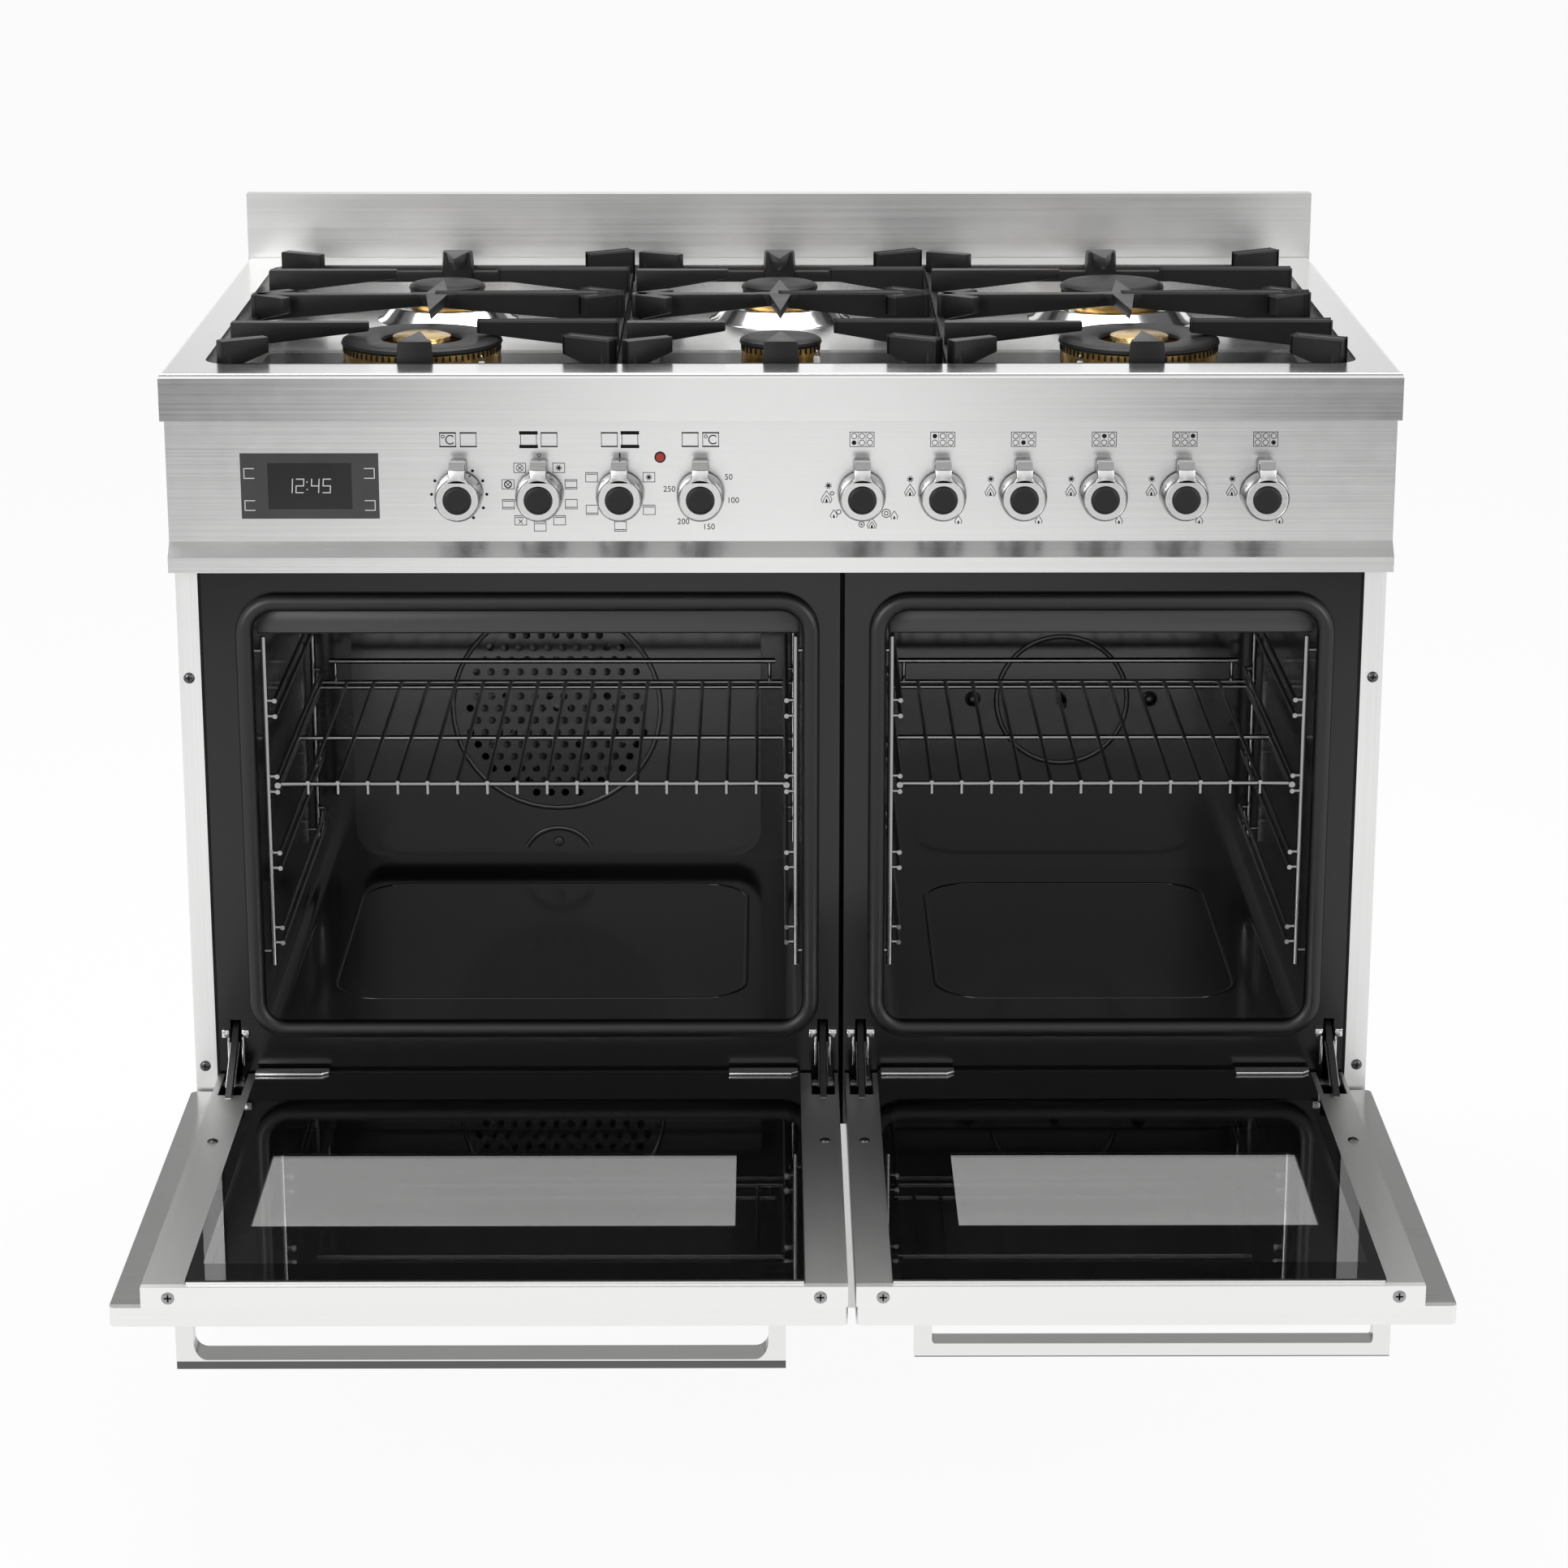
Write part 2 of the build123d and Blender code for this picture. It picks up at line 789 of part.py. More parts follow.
def side_ladder(oven, side):
    """A wire ladder on a cavity wall: two posts with pegs to the wall, and pairs of runners."""
    wall = oven.cavity[side]
    runner = rail_x(oven, side)
    post = wall + (rail_post_stand if side == 0 else -rail_post_stand)
    ends = (face_setback + rail_front, face_setback + rail_rear)
    pieces = []
    for depth in ends:
        pieces.append(rod((post, depth, rail_bottom), (post, depth, rail_top), rail_post_rod))
        for z in (rail_bottom + rail_peg_inset, rail_top - rail_peg_inset):
            pieces.append(rod((wall, depth, z), (post, depth, z), rail_tie_rod))
    for level in rail_levels:
        for z in (level - rail_pair / 2, level + rail_pair / 2):
            pieces.append(rod_y(runner, z, ends[0] - rail_rod, ends[1] + rail_rod, rail_rod))
            for depth in ends:
                pieces.append(rod((post, depth, z), (runner, depth, z), rail_tie_rod))
    return join(pieces)


def shelf_rails():
    """The wire ladders on both walls of both ovens."""
    return group(side_ladder(oven, side) for oven in ovens for side in (0, 1))


def shelf(oven):
    """A wire shelf on the lower runners of its level, with a raised stop along its rear edge."""
    runner_z = shelf_level - rail_pair / 2
    z = runner_z + rail_rod + shelf_frame_rod + loose_clearance
    left, right = rail_x(oven, 0), rail_x(oven, 1)
    front = face_setback + shelf_front
    rear = face_setback + shelf_rear
    stop = face_setback + shelf_stop
    reach = 2 * shelf_frame_rod
    pieces = [rod_y(x, z, front - reach, stop + reach, shelf_frame_rod) for x in (left, right)]
    for depth in (front, face_setback + shelf_middle, rear, stop):
        pieces.append(rod((left, depth, z), (right, depth, z), shelf_cross_rod))
    stop_x = (left + shelf_stop_inset, right - shelf_stop_inset)
    stop_z = z + shelf_stop_rise
    for x in stop_x:
        pieces.append(rod((x, stop, z), (x, stop, stop_z), shelf_wire_rod))
    pieces.append(rod((stop_x[0] - reach, stop, stop_z), (stop_x[1] + reach, stop, stop_z), shelf_frame_rod))
    wire_z = z + shelf_frame_rod
    wire_count = int((right - left - shelf_wire_pitch) // shelf_wire_pitch)
    first = oven.middle - (wire_count - 1) * shelf_wire_pitch / 2
    for number in range(wire_count):
        x = first + number * shelf_wire_pitch
        pieces.append(rod_y(x, wire_z, front - shelf_nose - shelf_frame_rod, rear + reach, shelf_wire_rod))
        curl = front - shelf_nose
        pieces.append(rod((x, curl, wire_z), (x, curl, wire_z - shelf_curl), shelf_curl_rod))
    return join(pieces)


def frame_sides(oven):
    """Left and right X of a door's inner frame, which steps in on the cooker's outer side."""
    return oven.between(frame_side_step, 0)


def window_box(oven, grow, z):
    """A box over a door's window, grown by a margin, between two heights."""
    far = hinge_setback - window_far - grow
    near = hinge_setback - window_near + grow
    left, right = oven.window
    return block((left - grow, right + grow), (far, near), z)


def door_skin(oven):
    """The outer door panel: a shallow tray with the window's opening in its face."""
    left, right = oven.door
    skin = block((left, right), (door_front, door_rear), (door_outer, skin_top))
    skin = fillet(skin.edges().filter_by(Axis.Z), door_corner)
    depth = (door_front + sheet, door_rear - sheet)
    frame_left, frame_right = frame_sides(oven)
    under_z = (door_outer + sheet, skin_top + sheet)
    under_frame = block((frame_left + sheet, frame_right - sheet), depth, under_z)
    under_step = block((left + sheet, right - sheet), depth, (door_outer + sheet, skin_top - sheet))
    return skin.cut(join([under_frame, under_step]), window_box(oven, 0, (door_outer - sheet, skin_top)))


def door_window(oven):
    """The window pane, lying on the inside of the outer panel."""
    low = door_outer + sheet
    return window_box(oven, window_lap, (low, low + window_pane))


def stay_arm(x):
    """The slanted arm from a door's hinge pocket through the slot in the oven front."""
    length = math.hypot(arm_slope_run, arm_slope_rise)
    along = (arm_slope_run / length, arm_slope_rise / length)
    across = (-along[1] * arm_thickness / 2, along[0] * arm_thickness / 2)
    root = (hinge_setback - arm_inner_reach, hinge_height + arm_inner_rise)
    start = (root[0] - along[0] * arm_root, root[1] - along[1] * arm_root)
    end = (root[0] + along[0] * (length + arm_tail), root[1] + along[1] * (length + arm_tail))
    outline = (
        (start[0] + across[0], start[1] + across[1]), (start[0] - across[0], start[1] - across[1]),
        (end[0] - across[0], end[1] - across[1]), (end[0] + across[0], end[1] + across[1]),
    )
    return profile_x(outline, (x - arm_width / 2, x + arm_width / 2))


def door_frame(oven):
    """The inner door frame, notched for the hinges, with bores for their pins and the two stay arms."""
    left, right = frame_sides(oven)
    height = (skin_top, frame_top)
    frame = block((left, right), (door_front, door_rear), height)
    opening_far = door_front + frame_border
    opening_near = door_rear - pocket_depth - frame_border / 2
    cut_height = (skin_top - sheet, frame_top + sheet)
    glass_left, glass_right = oven.glass
    cuts = [block((glass_left + glass_lap, glass_right - glass_lap), (opening_far, opening_near), cut_height)]
    pin_reach = hinge_pin_half + loose_clearance
    for x in oven.hinges:
        pocket_x = (x - pocket_width / 2, x + pocket_width / 2)
        cuts.append(block(pocket_x, (door_rear - pocket_depth, door_rear + sheet), cut_height))
        start = (x - pin_reach, hinge_setback, hinge_height)
        end = (x + pin_reach, hinge_setback, hinge_height)
        cuts.append(rod(start, end, hinge_pin_radius + running_clearance))
    return join([frame.cut(*cuts), *(stay_arm(x) for x in oven.hinges)])


def door_glass(oven):
    """The inner glass, lying on the frame."""
    depth = (door_front + glass_end_gap, door_rear - sheet)
    return block(oven.glass, depth, (frame_top, frame_top + glass_thickness))


def door_handle(oven):
    """The handle: a bar with two arms, made as a plate with a finger opening."""
    depth = (door_front + handle_inset, door_front + handle_inset + handle_depth)
    bottom = door_outer - oven.handle_stand
    left, right = oven.handle
    outer = block((left, right), depth, (bottom, door_outer))
    finger_x = (left + handle_bar, right - handle_bar)
    finger_z = (bottom + handle_bar, door_outer + handle_bar)
    finger = block(finger_x, (depth[0] - sheet, depth[1] + sheet), finger_z)
    lower = finger.edges().filter_by(Axis.Y).group_by(Axis.Z)[0]
    return outer.cut(fillet(lower, handle_round))


def hinge_brackets():
    """Brackets on the oven fronts, each with the pin that a door turns on."""
    solids = []
    for oven in ovens:
        for x in oven.hinges:
            inner = x + bracket_offset - bracket_width / 2
            outer = x + bracket_offset + bracket_width / 2
            height = (hinge_height - bracket_round, hinge_height + bracket_round)
            tongue = block((inner, outer), (hinge_setback, face_setback), height)
            axis_point = (hinge_setback, hinge_height)
            eye = rod((inner, *axis_point), (outer, *axis_point), bracket_round)
            pin = rod((x - hinge_pin_half, *axis_point), (x + hinge_pin_half, *axis_point), hinge_pin_radius)
            solids.append(join([tongue, eye, pin]))
    return group(solids)


# Burners as X, depth, cap radius and whether they have a double ring
burners = (
    (-burner_side, burner_front, double_cap_radius, True),
    (burner_side, burner_front, double_cap_radius, True),
    (-burner_side, burner_rear, small_cap_radius, False),
    (0.0, burner_front, small_cap_radius, False),
    (0.0, burner_rear, small_cap_radius, False),
    (burner_side, burner_rear, large_cap_radius, False),
)


def upright(burner, low, high, radius):
    """A cylinder on a burner's axis between two heights."""
    x, depth = burner[:2]
    return rod((x, depth, low), (x, depth, high), radius)


def burner_body(burner):
    """A brass burner body: neck through the hob, seat, and crown, or two crowns with a brass inner cap."""
    radius, double = burner[2:]
    seat_top = well_floor + burner_seat
    crown = radius - burner_cap_lap
    pieces = [
        upright(burner, well_floor - burner_neck_drop, seat_top, burner_neck_radius),
        upright(burner, well_floor, seat_top, radius),
        upright(burner, well_floor, burner_crown_top, crown),
    ]
    if not double:
        return join(pieces)
    groove = upright(burner, seat_top, burner_crown_top + sheet, double_ring_inner + burner_cap_lap)
    inner_crown = upright(burner, well_floor, burner_crown_top, double_inner_cap - burner_cap_lap)
    cap_top = burner_crown_top + burner_cap_thickness
    inner_cap = upright(burner, burner_crown_top, cap_top, double_inner_cap)
    return join([join(pieces).cut(groove), inner_crown, inner_cap])


def burner_cap(burner):
    """A flat black cap on a crown, or the ring cap of a double burner."""
    radius, double = burner[2:]
    cap_top = burner_crown_top + burner_cap_thickness
    cap = upright(burner, burner_crown_top, cap_top, radius)
    if double:
        return cap.cut(upright(burner, burner_crown_top - sheet, cap_top + sheet, double_ring_inner))
    return cap


def spark_place(burner):
    """X and depth of a burner's spark plug, beside its seat towards the middle of the hob and the front."""
    x, depth, radius = burner[:3]
    reach = (radius + spark_gap + spark_radius) * math.sqrt(0.5)
    inward = -1 if x > 0 else 1
    return x + inward * reach, depth - reach


def spark_plugs():
    """A ceramic spark plug beside each burner."""
    solids = []
    for burner in burners:
        x, depth = spark_place(burner)
        solids.append(rod((x, depth, well_floor), (x, depth, well_floor + spark_height), spark_radius))
    return group(solids)


def burner_skirts():
    """The dished chrome rings round the single burners at the rear."""
    solids = []
    for burner in burners:
        if burner[1] != burner_rear:
            continue
        inner = burner[2] + skirt_gap
        x, depth = burner[:2]
        base = Plane(origin=place(x, depth, well_floor))
        ring = Solid.make_cone(inner + skirt_width, inner + skirt_top_width, skirt_height, base)
        x, depth = spark_place(burner)
        hole_radius = spark_radius + loose_clearance
        plug_hole = rod((x, depth, well_floor - sheet), (x, depth, hob_height), hole_radius)
        solids.append(ring.cut(upright(burner, well_floor - sheet, hob_height, inner), plug_hole))
    return group(solids)


def prism_z(points, z):
    """An upright prism over a polygon of (x, depth) points."""
    outline = [place(x, depth, min(z)) for x, depth in points]
    face = Face(Wire.make_polygon(outline, close=True))
    return Solid.extrude(face, Vector(0, 0, max(z) - min(z)))


def support_arm(start, end, widths, depths):
    """A cast arm with a level top, between two (x, depth) points, tapered in width and in depth."""
    run = (end[0] - start[0], end[1] - start[1])
    length = math.hypot(*run)
    across = (-run[1] / length, run[0] / length)
    wires = []
    for (x, depth), width, drop in zip((start, end), widths, depths):
        a = (x + across[0] * width / 2, depth + across[1] * width / 2)
        b = (x - across[0] * width / 2, depth - across[1] * width / 2)
        low = support_top - drop
        corners = [place(*a, support_top), place(*b, support_top), place(*b, low), place(*a, low)]
        wires.append(Wire.make_polygon(corners, close=True))
    return Solid.make_loft(wires, ruled=True)


def support_prong(x, depth, side, end):
    """A prong that is turned inwards from a point on a support's edge."""
    turn = math.radians(support_prong_turn)
    along = (-side * math.cos(turn), -end * math.sin(turn))
    heel = (x - along[0] * support_prong_heel, depth - along[1] * support_prong_heel)
    tip = (x + along[0] * support_prong_reach, depth + along[1] * support_prong_reach)
    widths = (support_prong_width, support_prong_width)
    return support_arm(heel, tip, widths, (support_prong_root, support_prong_tip))


def support_wedge(middle, edge, inward):
    """A wedge-shaped prong in the middle of a support's front or rear edge."""
    half = support_wedge_width / 2
    shoulder = edge + inward * support_wedge_post
    tip = edge + inward * support_wedge_reach
    left, right = middle - half, middle + half
    top = ((left, edge), (right, edge), (right, shoulder), (middle, tip), (left, shoulder))
    low = support_top - support_frame_drop - support_frame_depth
    post = block((middle - half, middle + half), (edge, shoulder), (low, support_top))
    return join([post, prism_z(top, (support_top - support_wedge_depth, support_top))])


def support_star(middle):
    """The four-pointed star in the middle of a support's cross bar."""
    half, arm = support_star_half, support_star_arm
    thin = support_tip_width / 2
    front = [(middle, support_cross - support_star_front), (middle + half, support_cross - thin),
             (middle + arm, support_cross - thin)]
    rear = [(middle + arm, support_cross + thin), (middle + half, support_cross + thin),
            (middle, support_cross + support_star_rear)]
    right = front + rear
    left = [(2 * middle - x, depth) for x, depth in reversed(right[1:-1])]
    return prism_z(right + left, (support_top - support_star_depth, support_top))


def pan_support(left, right):
    """A cast pan support between two X: a low frame on four posts, with arms and prongs for the pans."""
    middle = (left + right) / 2
    frame_top = support_top - support_frame_drop
    frame_z = (frame_top - support_frame_depth, frame_top)
    outer = block((left, right), (support_front, support_rear), frame_z)
    inner_x = (left + support_bar, right - support_bar)
    inner_y = (support_front + support_bar, support_rear - support_bar)
    pieces = [outer.cut(block(inner_x, inner_y, (frame_z[0] - sheet, frame_z[1] + sheet)))]
    widths = (support_root_width, support_tip_width)
    depths = (support_root_depth, support_tip_depth)
    for side, edge in ((-1, left), (1, right)):
        x = edge - side * support_post_inset
        root = edge - side * support_post_inset / 2
        for end, limit in ((-1, support_front), (1, support_rear)):
            depth = limit - end * support_post_inset
            post_top = (x, depth, support_top - support_tip_depth)
            pieces.append(rod((x, depth, well_floor), post_top, support_post_radius))
            pieces.append(support_prong(x, depth, side, end))
            pieces.append(support_prong(x, support_cross, side, end))
        for depth in (burner_front + support_finger_shift, burner_rear):
            tip = (middle + side * support_finger_gap, depth)
            pieces.append(support_arm((root, depth), tip, widths, depths))
        pieces.append(support_arm((root, support_cross), (middle, support_cross), widths, depths))
    pieces.append(support_star(middle))
    pieces.append(support_wedge(middle, support_front, 1))
    pieces.append(support_wedge(middle, support_rear, -1))
    return join(pieces)


centre_half = support_centre_width / 2
nodes = {
    "side_panels": side_panels(),
    "back_panel": back_panel(),
    "base_tray": base_tray(),
    "feet": feet(),
    "plinth_panel": plinth_panel(),
    "hob_top": hob_top(),
    "backguard": backguard(),
    "control_panel": control_panel(),
    "display_glass": display_box(panel_setback - display_rise, display_back),
    "display_module": display_box(display_back, display_back + display_depth),
    "indicator_lens": indicator_lens(),
    "gas_taps": gas_taps(),
    "gas_manifold": gas_manifold(),
    "oven_switches": oven_switches(),
    "front_strips": front_strips(),
    "oven_fronts": oven_fronts(),
    "door_seals": door_seals(),
    "fan_cover": fan_cover(),
    "fan": fan(),
    "fan_motor": fan_motor(),
    "grill_elements": grill_elements(),
    "shelf_rails": shelf_rails(),
    "hinge_brackets": hinge_brackets(),
    "burner_bodies": group(burner_body(burner) for burner in burners),
    "burner_caps": group(burner_cap(burner) for burner in burners),
    "burner_skirts": burner_skirts(),
    "spark_plugs": spark_plugs(),
    "pan_support_left": pan_support(-support_outer, -support_inner),
    "pan_support_centre": pan_support(-centre_half, centre_half),
    "pan_support_right": pan_support(support_inner, support_outer),
}
for oven in ovens:
    nodes[f"oven_cavity_{oven.side}"] = oven_cavity(oven)
    nodes[f"shelf_{oven.side}"] = shelf(oven)
    nodes[f"door_{oven.side}_skin"] = door_skin(oven)
    nodes[f"door_{oven.side}_window"] = door_window(oven)
    nodes[f"door_{oven.side}_frame"] = door_frame(oven)
    nodes[f"door_{oven.side}_glass"] = door_glass(oven)
    nodes[f"door_{oven.side}_handle"] = door_handle(oven)
for order, number in enumerate(oven_knob_places, start=1):
    nodes[f"oven_knob_{order}"] = knob(number)
for order, number in enumerate(gas_knob_places, start=1):
    nodes[f"gas_knob_{order}"] = knob(number)
    nodes[f"gas_plug_{order}"] = gas_plug(number)

os.makedirs("parts", exist_ok=True)
for name, shape in nodes.items():
    export_step(shape, f"parts/{name}.step")
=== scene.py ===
"""The looks of a wide gas cooker with two open ovens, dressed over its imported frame."""
from __future__ import annotations

import logging
import math
from dataclasses import dataclass
from enum import Enum
from typing import Callable, Optional, Sequence, Union

import bmesh
import bpy
from mathutils import Matrix, Vector


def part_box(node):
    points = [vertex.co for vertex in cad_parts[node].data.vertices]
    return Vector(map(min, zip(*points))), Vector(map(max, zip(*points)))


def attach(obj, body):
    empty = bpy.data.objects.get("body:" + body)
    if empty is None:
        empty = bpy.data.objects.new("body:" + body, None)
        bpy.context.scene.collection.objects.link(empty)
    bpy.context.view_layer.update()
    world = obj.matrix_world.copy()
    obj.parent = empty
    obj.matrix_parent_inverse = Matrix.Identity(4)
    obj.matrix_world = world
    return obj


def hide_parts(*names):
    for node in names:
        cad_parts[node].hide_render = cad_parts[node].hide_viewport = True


LOG = logging.getLogger("cooker")
MM = 0.001
COOKER = "cooker"
KNOB_PITCH = 65.3
FRONT = Vector((0, -1, 0))
UP = Vector((0, 0, 1))
WELD_REACH = 1e-6
PRINT_RISE = 0.12
LENS_BEHIND_FACE = 12.0
SIZE_OF_DIGIT = 1.4
Colour = tuple[float, float, float]
Point2 = tuple[float, float]
Material = bpy.types.Material
Piece = bpy.types.Object
Socket = bpy.types.NodeSocket
SocketInput = Union[float, Sequence[float], "Value", Socket]


# Shader maths


def math_operator(operation: str, reflected: bool = False) -> Callable[["Value", SocketInput], "Value"]:
    """An operator between values that adds one Math node.

    Args:
        operation: Blender's name of the operation.
        reflected: Whether the value is the right operand.

    Returns:
        The operator.
    """
    def apply(value: "Value", other: SocketInput) -> "Value":
        """Add the node."""
        first, second = (other, value) if reflected else (value, other)
        return value.combined(operation, first, second)

    return apply


@dataclass(frozen=True)
class Value:
    """One number on a node graph; operators between values add Math nodes."""

    graph: "Graph"
    socket: Socket

    def combined(
        self, operation: str, first: SocketInput, second: SocketInput, clamp: bool = False
    ) -> "Value":
        """Add one Math node.

        Args:
            operation: Blender's name of the operation.
            first: Left operand.
            second: Right operand.
            clamp: Whether the result stays between 0 and 1.

        Returns:
            The node's result.
        """
        node = self.graph.add("Math", {0: first, 1: second}, operation=operation, use_clamp=clamp)
        return Value(self.graph, node.outputs[0])

    __add__ = math_operator("ADD")
    __radd__ = math_operator("ADD", True)
    __sub__ = math_operator("SUBTRACT")
    __rsub__ = math_operator("SUBTRACT", True)
    __mul__ = math_operator("MULTIPLY")
    __rmul__ = math_operator("MULTIPLY", True)
    __truediv__ = math_operator("DIVIDE")
    __gt__ = math_operator("GREATER_THAN")
    __lt__ = math_operator("LESS_THAN")

    def power(self, exponent: float) -> "Value":
        """This raised to a power."""
        return self.combined("POWER", self, exponent)

    def clamped(self) -> "Value":
        """This, held between 0 and 1."""
        return self.combined("ADD", self, 0.0, clamp=True)

    def step(self, low: float, high: float) -> "Value":
        """Smooth step of this.

        Args:
            low: Where the step is still 0.
            high: Where it has become 1.

        Returns:
            The step.
        """
        inputs = {"Value": self, "From Min": low, "From Max": high}
        node = self.graph.add("MapRange", inputs, interpolation_type="SMOOTHSTEP")
        return Value(self.graph, node.outputs[0])


class Graph:
    """The node tree of a material or a world, built node by node."""

    def __init__(self, owner: Union[Material, bpy.types.World]) -> None:
        """Empty the tree.

        Args:
            owner: The material or the world.
        """
        self.owner = owner
        owner.use_nodes = True
        self.tree = owner.node_tree
        self.tree.nodes.clear()

    @staticmethod
    def material(name: str) -> "Graph":
        """The tree of a new material."""
        return Graph(bpy.data.materials.new(name))

    def add(self, kind: str, inputs: Optional[dict] = None, **settings: object) -> bpy.types.Node:
        """Add one node.

        Args:
            kind: The node's type, without the words ShaderNode.
            inputs: Values or links by socket name or number.
            settings: Properties, set first; stops holds a colour ramp's positions and colours.

        Returns:
            The new node.
        """
        node = self.tree.nodes.new("ShaderNode" + kind)
        for key, value in settings.items():
            if key == "stops":
                self._set_stops(node, value)
            else:
                setattr(node, key, value)
        for key, value in (inputs or {}).items():
            socket = node.inputs[key]
            if isinstance(value, Value):
                self.tree.links.new(value.socket, socket)
            elif isinstance(value, Socket):
                self.tree.links.new(value, socket)
            else:
                socket.default_value = value
        return node

    @staticmethod
    def _set_stops(node: bpy.types.Node, stops: Sequence[tuple[float, Colour]]) -> None:
        """Give a ramp node its stops.

        Args:
            node: The ColorRamp node.
            stops: Position and colour of each stop.
        """
        elements = node.color_ramp.elements
        while len(elements) < len(stops):
            elements.new(1.0)
        for element, (position, colour) in zip(elements, stops):
            element.position = position
            element.color = (*colour, 1.0)

    def coordinates(self, scale: Sequence[float] = (1.0, 1.0, 1.0)) -> Socket:
        """Object coordinates in metres, scaled.

        Args:
            scale: Factor along each axis.

        Returns:
            The vector socket.
        """
        source = self.add("TexCoord")
        mapping = self.add("Mapping", {"Vector": source.outputs["Object"], "Scale": scale})
        return mapping.outputs["Vector"]

    def noise(
        self, scale: Union[float, Sequence[float]], detail: float = 2.0, roughness: float = 0.5
    ) -> Value:
        """A noise between 0 and 1.

        Args:
            scale: Waves per metre, or waves per metre along each axis.
            detail: Octaves.
            roughness: Weight of the finer octaves.

        Returns:
            The noise value.
        """
        scales = scale if isinstance(scale, tuple) else (scale,) * 3
        inputs = {"Vector": self.coordinates(scales), "Scale": 1.0, "Detail": detail, "Roughness": roughness}
        node = self.add("TexNoise", inputs)
        return Value(self, node.outputs["Fac"])

    def ramp(self, value: Value, stops: Sequence[tuple[float, Colour]]) -> Socket:
        """A colour picked by a value.

        Args:
            value: Where on the ramp.
            stops: Position and colour of each stop.

        Returns:
            The colour socket.
        """
        return self.add("ValToRGB", {"Fac": value}, stops=stops).outputs["Color"]

    def shade(self, value: Value, colour: Colour, low: float, high: float) -> Socket:
        """A colour that a value makes darker or lighter.

        Args:
            value: From 0 to 1.
            colour: The middle colour.
            low: Factor at 0.
            high: Factor at 1.

        Returns:
            The colour socket.
        """
        dark = tuple(min(1.0, c * low) for c in colour)
        light = tuple(min(1.0, c * high) for c in colour)
        return self.ramp(value, ((0.25, dark), (0.75, light)))

    def scaled(self, value: Value, colour: Colour, top: float) -> Socket:
        """A colour times a value.

        Args:
            value: The factor, from 0 to the top.
            colour: The colour at 1.
            top: Highest factor.

        Returns:
            The colour socket.
        """
        full = tuple(min(1.0, c * top) for c in colour)
        return self.ramp(value * (1.0 / top), ((0.0, (0.0, 0.0, 0.0)), (1.0, full)))

    def rays(self, *kinds: str) -> Value:
        """1 for rays of the given kinds, else 0.

        Args:
            kinds: Outputs of the Light Path node.

        Returns:
            The mask.
        """
        path = self.add("LightPath")
        first, *others = (Value(self, path.outputs[kind]) for kind in kinds)
        return sum(others, first).clamped()

    def along(self, axis: str) -> Value:
        """Object coordinate along one axis, in metres."""
        split = self.add("SeparateXYZ", {0: self.coordinates()})
        return Value(self, split.outputs[axis])

    def bump(self, height: Value, strength: float, distance: float) -> Socket:
        """A bumped normal.

        Args:
            height: The relief.
            strength: From 0 to 1.
            distance: Height of the relief in metres.

        Returns:
            The normal socket.
        """
        inputs = {"Height": height, "Strength": strength, "Distance": distance}
        return self.add("Bump", inputs).outputs["Normal"]

    def surface(self, inputs: dict) -> Material:
        """Finish the material with one Principled shader.

        Args:
            inputs: Values or links of the shader's sockets.

        Returns:
            The material.
        """
        shader = self.add("BsdfPrincipled", inputs)
        self.add("OutputMaterial", {"Surface": shader.outputs["BSDF"]})
        return self.owner


# Finishes


def grey(level: float, blue: float = 0.0) -> Colour:
    """A grey with a little more or less blue."""
    return (level, level, level + blue)


class Grain(Enum):
    """The way that brushed steel was brushed."""

    ACROSS = (2.0, 700.0, 700.0)
    UPRIGHT = (700.0, 700.0, 2.0)
    DEEP = (700.0, 2.0, 700.0)


@dataclass(frozen=True)
class PaintedLightZone:
    """Part of a sheet, past a limit along one axis in metres, in another tone: painted light, a lighter or
    darker band that stands in for a reflection or a shade.
    """

    axis: str
    above: bool
    limit: float
    tone: float

    def mask(self, graph: Graph) -> Value:
        """1 inside the zone, else 0."""
        place = graph.along(self.axis)
        return place > self.limit if self.above else place < self.limit


@dataclass(frozen=True)
class BrushedSteel:
    """Stainless steel with long fine scratches."""

    name: str
    grain: Grain = Grain.ACROSS
    colour: Colour = grey(0.62, -0.005)
    roughness: float = 0.30
    relief: float = 0.10
    painted_zones: Sequence[PaintedLightZone] = ()

    def material(self) -> Material:
        """Build the material.

        Returns:
            The material.
        """
        graph = Graph.material(self.name)
        scratches = graph.noise(self.grain.value, detail=3.0, roughness=0.7)
        clouds = graph.noise(5.0)
        wear = graph.noise(60.0, detail=3.0)
        mixed = scratches * 0.7 + clouds * 0.3
        tone = 0.89 + mixed * 0.22
        top = 1.12
        # Painted light: each zone lightens or darkens the steel to stand in for a reflection or a shade that
        # falls there.
        for zone in self.painted_zones:
            inside = zone.mask(graph)
            tone = tone * (1.0 - inside) + (zone.tone * (0.95 + mixed * 0.1)) * inside
            top = max(top, zone.tone * 1.05)
        return graph.surface({
            "Base Color": graph.scaled(tone, self.colour, top),
            "Metallic": 1.0,
            "Roughness": (self.roughness - 0.08) + scratches * 0.12 + wear * 0.04,
            "Normal": graph.bump(scratches, self.relief, 0.00015),
        })


@dataclass(frozen=True)
class BrightSteel:
    """Polished or plated steel with faint smears."""

    name: str
    colour: Colour = grey(0.72)
    roughness: float = 0.10

    def material(self) -> Material:
        """Build the material.

        Returns:
            The material.
        """
        graph = Graph.material(self.name)
        smears = graph.noise((18.0, 40.0, 40.0), detail=4.0)
        fine = graph.noise(900.0)
        return graph.surface({
            "Base Color": graph.shade(smears, self.colour, 0.95, 1.03),
            "Metallic": 1.0,
            "Roughness": self.roughness + smears * 0.06,
            "Normal": graph.bump(fine, 0.03, 0.00005),
        })


